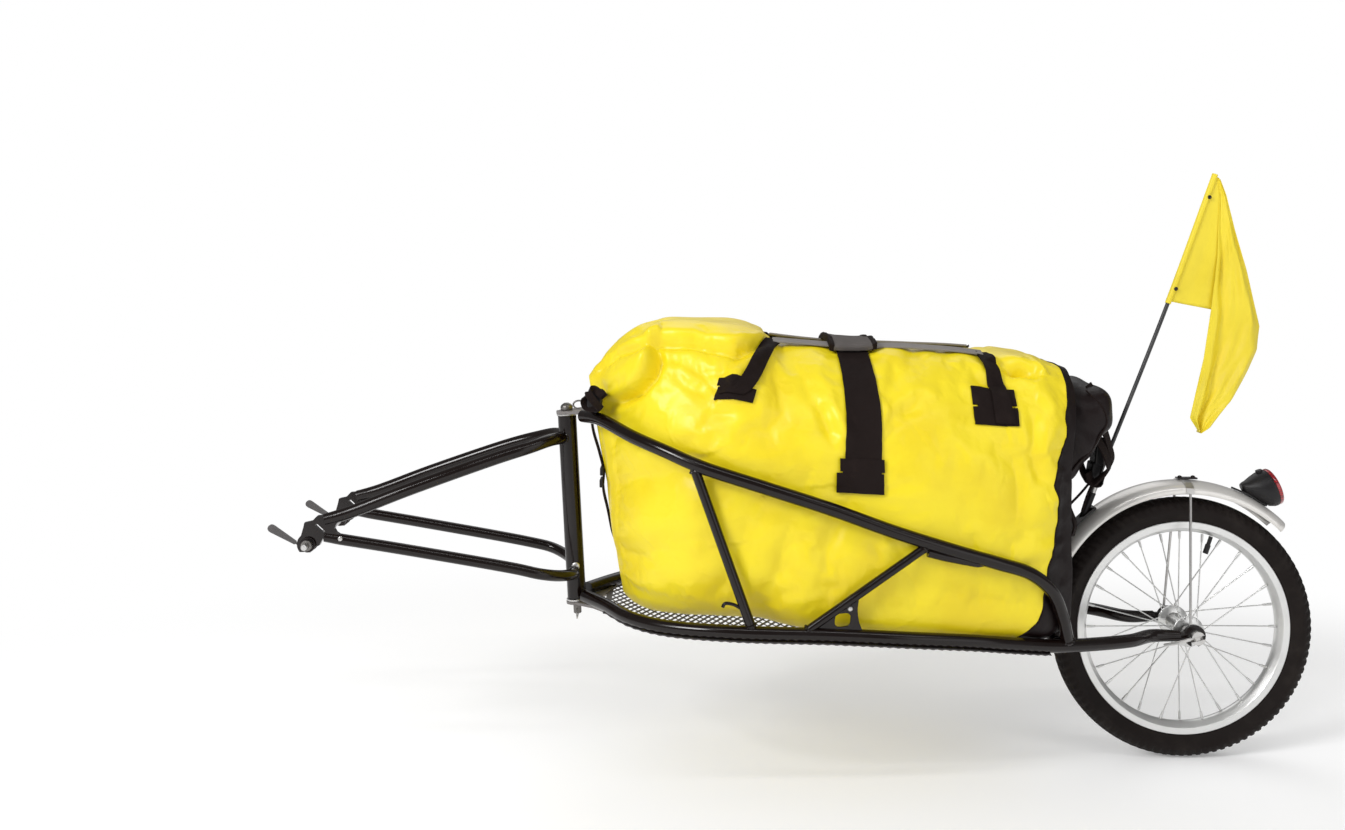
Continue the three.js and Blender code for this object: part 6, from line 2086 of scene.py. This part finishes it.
@dataclass
class DryBag:
    """The dry bag with its straps, handles and black end."""

    form: BagForm
    centre_back: float = 787.0
    centre_width: float = 48.0
    handle_front: float = 613.0
    handle_rear: float = 971.0
    handle_width: float = 27.0
    strap_thick: float = 2.4
    foot_turn: float = 33.0
    grip_turn: float = 62.0
    patch_thick: float = 2.0
    pad_length: float = 62.0
    pad_thick: float = 9.0
    piping: float = 1.5
    rows: int = 260
    columns: int = 420
    cap_half: float = 104.0
    cap_rings: tuple = (
        (1070, 0.98, 72, 228), (1086, 1.03, 64, 231), (1104, 1.03, 78, 230), (1122, 1.03, 104, 229),
        (1140, 1.02, 130, 229), (1152, 0.98, 146, 227), (1161, 0.88, 158, 220), (1167, 0.62, 170, 209),
        (1170, 0.05, 186, 196))
    cap_seam: tuple = ((1126, 221), (1143, 198), (1149, 176), (1138, 152), (1112, 122), (1088, 94))
    rear_shift: tuple = (-10.0, 0.0, 2.0)
    rear_loops: tuple = (
        ((1146, -64, 226), (1160, -66, 200), (1168, -66, 164), (1176, -66, 136), (1181, -64, 112),
         (1168, -60, 88)),
        ((1152, -50, 150), (1148, -48, 128), (1142, -46, 104), (1152, -46, 84), (1168, -46, 78),
         (1180, -46, 96)),
        ((1162, -30, 150), (1174, -32, 130), (1180, -32, 108), (1172, -32, 90), (1158, -30, 80),
         (1150, -30, 92)),
        ((1156, -78, 146), (1166, -80, 126), (1170, -80, 106), (1160, -78, 92), (1148, -76, 84),
         (1142, -74, 98)))
    rear_laces: tuple = (
        ((1152, -60, 84), (1136, -62, 66), (1118, -64, 48), (1104, -64, 30), (1098, -64, 8)),
        ((1160, -44, 80), (1150, -46, 58), (1142, -48, 36)))
    rear_end: tuple = ((1112, -66, 56), (1120, -66, 38), (1126, -66, 20), (1122, -66, 4))
    rear_buckles: tuple = (((1154, -52, 130), 40), ((1148, -50, 100), 26))
    front_line: tuple = (
        (402, 0, 188), (404, 0, 156), (414, 0, 120), (421, 0, 90), (420, 0, 65), (427, 0, 32),
        (433, 0, 2), (436, 0, -8))
    front_buckle: tuple = (
        (-10, 0, -14), (5, 0, -17), (11, 0, -7), (12, 0, 5), (5, 0, 14), (-7, 0, 13), (-11, 0, 3))
    front_knot: tuple = (409, -84, 205)
    front_loops: tuple = (
        ((428, -92, 190), (414, -98, 206), (402, -94, 224), (412, -84, 230), (430, -86, 216)),
        ((404, -84, 226), (392, -80, 208), (396, -78, 194), (410, -84, 190), (426, -92, 194)),
        ((398, -70, 200), (408, -60, 214), (422, -64, 222), (434, -84, 214)))

    def body(self) -> None:
        """Makes the yellow shell and the black rear end, split at the seam."""
        net = self.form.net(self.rows, self.columns)
        cut = int(np.argmax(self.form.shares(self.rows) >= self.form.seam_share))
        nose, tail = net[0].mean(axis=0), net[-1].mean(axis=0)
        rings = [nose + (net[0] - nose) * reach - (2.5 * (1 - reach ** 2), 0, 0)
                 for reach in (0.02, 0.35, 0.7, 0.9)]
        yellow = np.concatenate([np.array(rings), net[:cut + 1]])
        Draft().grid(yellow, around=True).piece("bag_shell", Finish.CLOTH, "bag", 180, replaces="bag_body")
        closing = [tail + (net[-1] - tail) * reach + (3 * (1 - reach), 0, 0)
                   for reach in (0.9, 0.6, 0.3, 0.02)]
        black = np.concatenate([net[cut:], np.array(closing)])
        Draft().grid(black, around=True).piece("bag_rear_panel", Finish.BLACK_CLOTH, "bag", 180)
        piping = Draft().tube(np.vstack([net[cut], net[cut][:1]]), self.piping, 8)
        piping.piece("bag_rear_piping", Finish.WEBBING, "bag", 180)

    def cap(self) -> None:
        """Makes the black folded end behind the bag."""
        turns = circle(96)
        cosine, sine = np.cos(turns), np.sin(turns)
        square = rounded(cosine, sine, 3.6)
        rows = np.array([
            np.stack([np.full(len(turns), back), self.cap_half * width * square * cosine,
                      (low + high) / 2 + (high - low) / 2 * square * sine], axis=1)
            for back, width, low, high in self.cap_rings])
        net = np.stack([spline(column, 60) for column in rows.transpose(1, 0, 2)], axis=1)
        swell = 4.5 * np.sin(net[..., 2] / 19 + net[..., 1] / 33) * np.sin(net[..., 0] / 15)
        swell += 2.6 * np.sin(net[..., 2] / 9 + net[..., 0] / 13)
        middle = net.mean(axis=1, keepdims=True)
        fade = smoothstep(net[..., 0], 1074, 1100)
        net = net + unit(net - middle) * (swell * fade)[..., None]
        draft = Draft().grid(net, around=True, caps=True)
        draft.piece("bag_end_fold", Finish.BLACK_CLOTH, "bag", 180, replaces="bag_end_cap")
        surface = net.reshape(-1, 3)
        for side in SIDES:
            near = surface[surface[:, 1] * side > 0]
            seam = spline([(back, 0, rise) for back, rise in self.cap_seam], 60)
            for point in seam:
                apart = np.linalg.norm(near[:, (0, 2)] - point[[0, 2]], axis=1)
                point[1] = near[np.argmin(apart)][1] + side * 1.0
            seam[:, 1] = np.convolve(np.pad(seam[:, 1], 4, mode="edge"), np.ones(9) / 9, "valid")
            Draft().tube(seam, 1.3, 10).piece(f"bag_end_piping_{side_name(side)}", Finish.WEBBING, "bag")

    def rear_gear(self) -> None:
        """Makes the buckle that closes the black end, with its hanging straps."""
        straps = Draft()
        shift = np.array(self.rear_shift)
        for loop in self.rear_loops:
            straps.band(spline(loop + shift, 40), 17, 2.4, (0.5, 0.7, 0.5))
        for lace in self.rear_laces:
            straps.band(spline(lace + shift, 30), 5, 2.0)
        straps.band(spline(self.rear_end + shift, 20), 16, 2.6, (0.5, 0.8, 0))
        straps.piece("bag_end_straps", Finish.WEBBING, "bag")
        buckle = Draft()
        for (back, out, rise), tall in self.rear_buckles:
            corners = ((-9, -tall / 2), (3, -tall / 2 - 3), (9, tall / 4), (6, tall / 2), (-5, tall / 2))
            buckle.plate([(back + ahead, out - 14, rise + up) for ahead, up in corners], ACROSS, 27)
        bevelled(buckle.piece("bag_end_buckle", Finish.PLASTIC, "bag"), 2.5, 3)

    def ribbon(self, draft: Draft, backs: float | np.ndarray, turns: np.ndarray,
               width: float | np.ndarray, thick: float, lift: float) -> None:
        """Adds a strap that goes round the bag on its skin.

        Args:
            draft: The draft that takes it.
            backs: Its route, distances behind the hitch axle.
            turns: Its route, angles round the bag.
            width: The strap's width, along the bag.
            thick: Its thickness.
            lift: How far it lies outside the skin.
        """
        shares = np.linspace(-0.5, 0.5, 9)
        inner, outer = (np.array([self.form.skin(backs + share * width, turns, rise) for share in shares])
                        for rise in (lift, lift + thick))
        draft.grid(np.concatenate([inner, outer[::-1]]).transpose(1, 0, 2), around=True, caps=True)

    def taut(self, backs: np.ndarray, turns: np.ndarray, lift: float) -> np.ndarray:
        """A line over the skin that spans its hollows, as a pulled strap does.

        Args:
            backs: Its route, distances behind the hitch axle.
            turns: Its route, angles round the bag.
            lift: How far it lies outside the skin.

        Returns:
            The points of the line.
        """
        line = self.form.skin(backs, turns, lift)
        reach = len(line) // 4
        weight = np.hanning(2 * reach + 3)[1:-1]
        padded = np.pad(line, ((reach, reach), (0, 0)), mode="reflect", reflect_type="odd")
        return np.stack([np.convolve(column, weight / weight.sum(), "valid") for column in padded.T], axis=1)

    def centre_strap(self) -> None:
        """Makes the wide strap over the top, its sewn ends and the grip pad."""
        draft = Draft()
        turns = np.radians(np.concatenate(
            [np.linspace(1, 45, 40), np.linspace(46, 134, 60), np.linspace(135, 179, 40)]))
        away = np.abs(np.degrees(turns) - 90)
        width = self.centre_width * np.interp(away, [0, 45, 70, 89], [0.88, 0.94, 1.04, 1.06])
        backs = self.centre_back + np.interp(away, [0, 30, 60, 89], [0, 1, 4, 0])
        self.ribbon(draft, backs, turns, width, self.strap_thick, 1.4)
        for low, high, wide, shift in ((1, 9, 65, -3), (9.6, 14.5, 61, 0), (1, 14.5, 52, -1)):
            for side in (RIGHT, LEFT):
                patch = side_turn(np.linspace(low, high, 14), side)
                self.ribbon(draft, self.centre_back + shift, patch, wide, self.patch_thick, 3.0)
        draft.piece("strap_centre", Finish.WEBBING, "bag", replaces="bag_centre_strap")
        pad = Draft()
        turns = np.radians(np.linspace(54, 126, 60))
        self.ribbon(pad, self.centre_back + 2, turns, self.pad_length, self.pad_thick, 6.0)
        bevelled(pad.piece("strap_grip_pad", Finish.PAD_WEBBING, "bag"), 2.5, 3)
        for index, shift in enumerate((-29, 33)):
            band = Draft()
            self.ribbon(band, self.centre_back + shift, turns, 7, self.pad_thick + 1.4, 5.6)
            bevelled(band.piece(f"strap_grip_edge_{index + 1}", Finish.WEBBING, "bag"), 1.5)

    def handles(self, side: int) -> None:
        """Makes a handle: sewn patches, black ends and a grey grip.

        Args:
            side: The handle's side.
        """
        name = side_name(side)
        ends = Draft()
        front_top, rear_top = self.handle_front + 64, self.handle_rear + 7
        steps = np.linspace(0, 1, 30)
        for foot, top, bend, pull in (
                (self.handle_front - 9, front_top, 1.8, 0.9), (self.handle_rear + 18, rear_top, 1.0, 1.2)):
            turns = side_turn(self.foot_turn - 4 + 33 * steps ** bend, side)
            width = self.handle_width * (1 - 0.42 * steps)
            self.ribbon(ends, foot + (top - foot) * steps ** pull, turns, width, 3.0, 3.2)
        front, rear = self.handle_front - 1, self.handle_rear + 7
        patches = ((front, 55, -5.6, -1.4, -3), (front + 2, 51, -0.9, 1.2, -2), (front, 45, -5.6, 1.2, -3),
                   (rear, 61, 1.8, 7.5, 0), (rear, 61, -4.6, 1.1, 0), (rear, 47, -4.6, 7.5, 0))
        for foot, wide, low, high, slant in patches:
            patch = side_turn(np.linspace(self.foot_turn + low, self.foot_turn + high, 12), side)
            self.ribbon(ends, foot - slant * np.linspace(-1, 1, 12), patch, wide, 2.2, 1.0)
        ends.piece(f"handle_ends_{name}", Finish.WEBBING, "bag", replaces=f"bag_handle_{name}")
        backs = np.linspace(front_top - 4, rear_top + 2, 80)
        line = self.taut(backs, side_turn(self.grip_turn, side), 5.0)
        above, below = (self.form.skin(backs, side_turn(self.grip_turn + step, side)) for step in (4.0, -4.0))
        across = unit((above - below).mean(axis=0))
        grip = Draft().band(line, self.handle_width * 0.8, 3.2, across)
        bevelled(grip.piece(f"handle_grip_{name}", Finish.GREY_WEBBING, "bag"), 1.0)

    def front_gear(self) -> None:
        """Makes the buckle and the hanging strap on the front of the bag."""
        path = spline(self.front_line, 40)
        half = np.interp(np.linspace(0, 1, 40), [0, 0.5, 1], [10, 12, 9])
        rows = [np.stack([path[:, 0] + ahead, half * way, path[:, 2]], axis=1)
                for ahead, way in ((-1.2, -1), (-1.2, 1), (1.2, 1), (1.2, -1))]
        strap = Draft().grid(np.stack(rows, axis=1), around=True, caps=True)
        strap.piece("strap_front", Finish.WEBBING, "bag", replaces="bag_front_strap")
        centre, outline = np.array([411, -80, 204]), np.array(self.front_buckle)
        buckle = Draft().plate(centre + outline, ACROSS, 26)
        buckle.plate(centre + (-4, -2, 0) + outline * 0.62, ACROSS, 32)
        bevelled(buckle.piece("bag_front_buckle", Finish.PLASTIC, "bag"), 2.5, 3)
        loops, knot = Draft(), np.array(self.front_knot)
        for loop in self.front_loops:
            loops.band(spline(knot + 0.72 * (loop - knot), 30), 11, 2.2, (0.6, 0.35, 0.7))
        loops.piece("bag_front_loops", Finish.WEBBING, "bag")
        ring = [(389 + 8.5 * math.cos(turn), -72, 199 + 6 * math.sin(turn))
                for turn in np.linspace(0, 2 * np.pi, 25)]
        Draft().tube(ring, 1.3, 10).piece("bag_front_ring", Finish.DARK_STEEL, "bag")
        slider = Draft()
        for height in (92, 74):
            back = path[int(np.argmin(np.abs(path[:, 2] - height)))][0]
            corners = ((-5, -7), (1, -7), (1, 7), (-5, 5))
            slider.plate([(back + ahead, -14, height + up) for ahead, up in corners], ACROSS, 28)
        bevelled(slider.piece("bag_front_slider", Finish.PLASTIC, "bag"), 1.5)

    def build(self) -> None:
        """Makes the bag."""
        self.form.billow()
        self.body()
        self.cap()
        self.centre_strap()
        for side in SIDES:
            self.handles(side)
        self.front_gear()
        self.rear_gear()


@dataclass
class CarriedOver:
    """The CAD pieces that keep their own shape and only get a finish."""

    finishes: tuple = (
        (Finish.STEEL, 0.0, ("kingpin_clip",)),
        (Finish.STEEL, 0.2, ("fender_stay_left", "fender_stay_right")),
        (Finish.STEEL, 0.3, ("wheel_release_lever", "fender_clip")),
        (Finish.STEEL, 0.4, ("wheel_axle",)),
        (Finish.DARK_STEEL, 0.5, ("hitch_nut_left", "hitch_nut_right", "wheel_axle_nut")),
        # The head plates take the mid grey copy of the black paint, a painted reflection.
        (Finish.HEAD_PAINT_PAINTED_REFLECTION, 0.6, ("head_plate_top", "head_plate_bottom")),
        (Finish.PAINT, 0.5, ("fender_bracket",)),
        (Finish.PAINT, 0.6, ("rear_dropout_left", "rear_dropout_right")),
        (Finish.PAINT, 0.8, ("hitch_dropout_left", "hitch_dropout_right")),
        (Finish.LEVER, 0.7, ("hitch_pin_left", "hitch_pin_right")),
        (Finish.PLASTIC, 0.3, ("valve_stem",)),
        (Finish.PLASTIC, 0.4, ("flag_socket", "light_bracket", "light_button")),
    )

    def build(self) -> None:
        """Dresses each carried piece and rounds its edges."""
        for finish, edge, names in self.finishes:
            for name in names:
                piece = dress(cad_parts[name], finish)
                if edge:
                    bevelled(piece, edge)
                log.info("%s: carried over in %s", name, finish.name)


def main() -> None:
    """Builds the studio and every part of the trailer."""
    logging.basicConfig(level=logging.INFO, format="%(message)s")
    bay, head = CargoFrame(), SteeringHead()
    floor = MeshFloor(bay)
    parts = (
        Studio(), bay, floor, head, HitchFork(head), TrailerWheel(), FenderSet(), TailLight(), Flag(),
        DryBag(BagForm(floor)), CarriedOver())
    for part in parts:
        log.info("building %s", type(part).__name__)
        part.build()


if __name__ == "__main__":
    main()
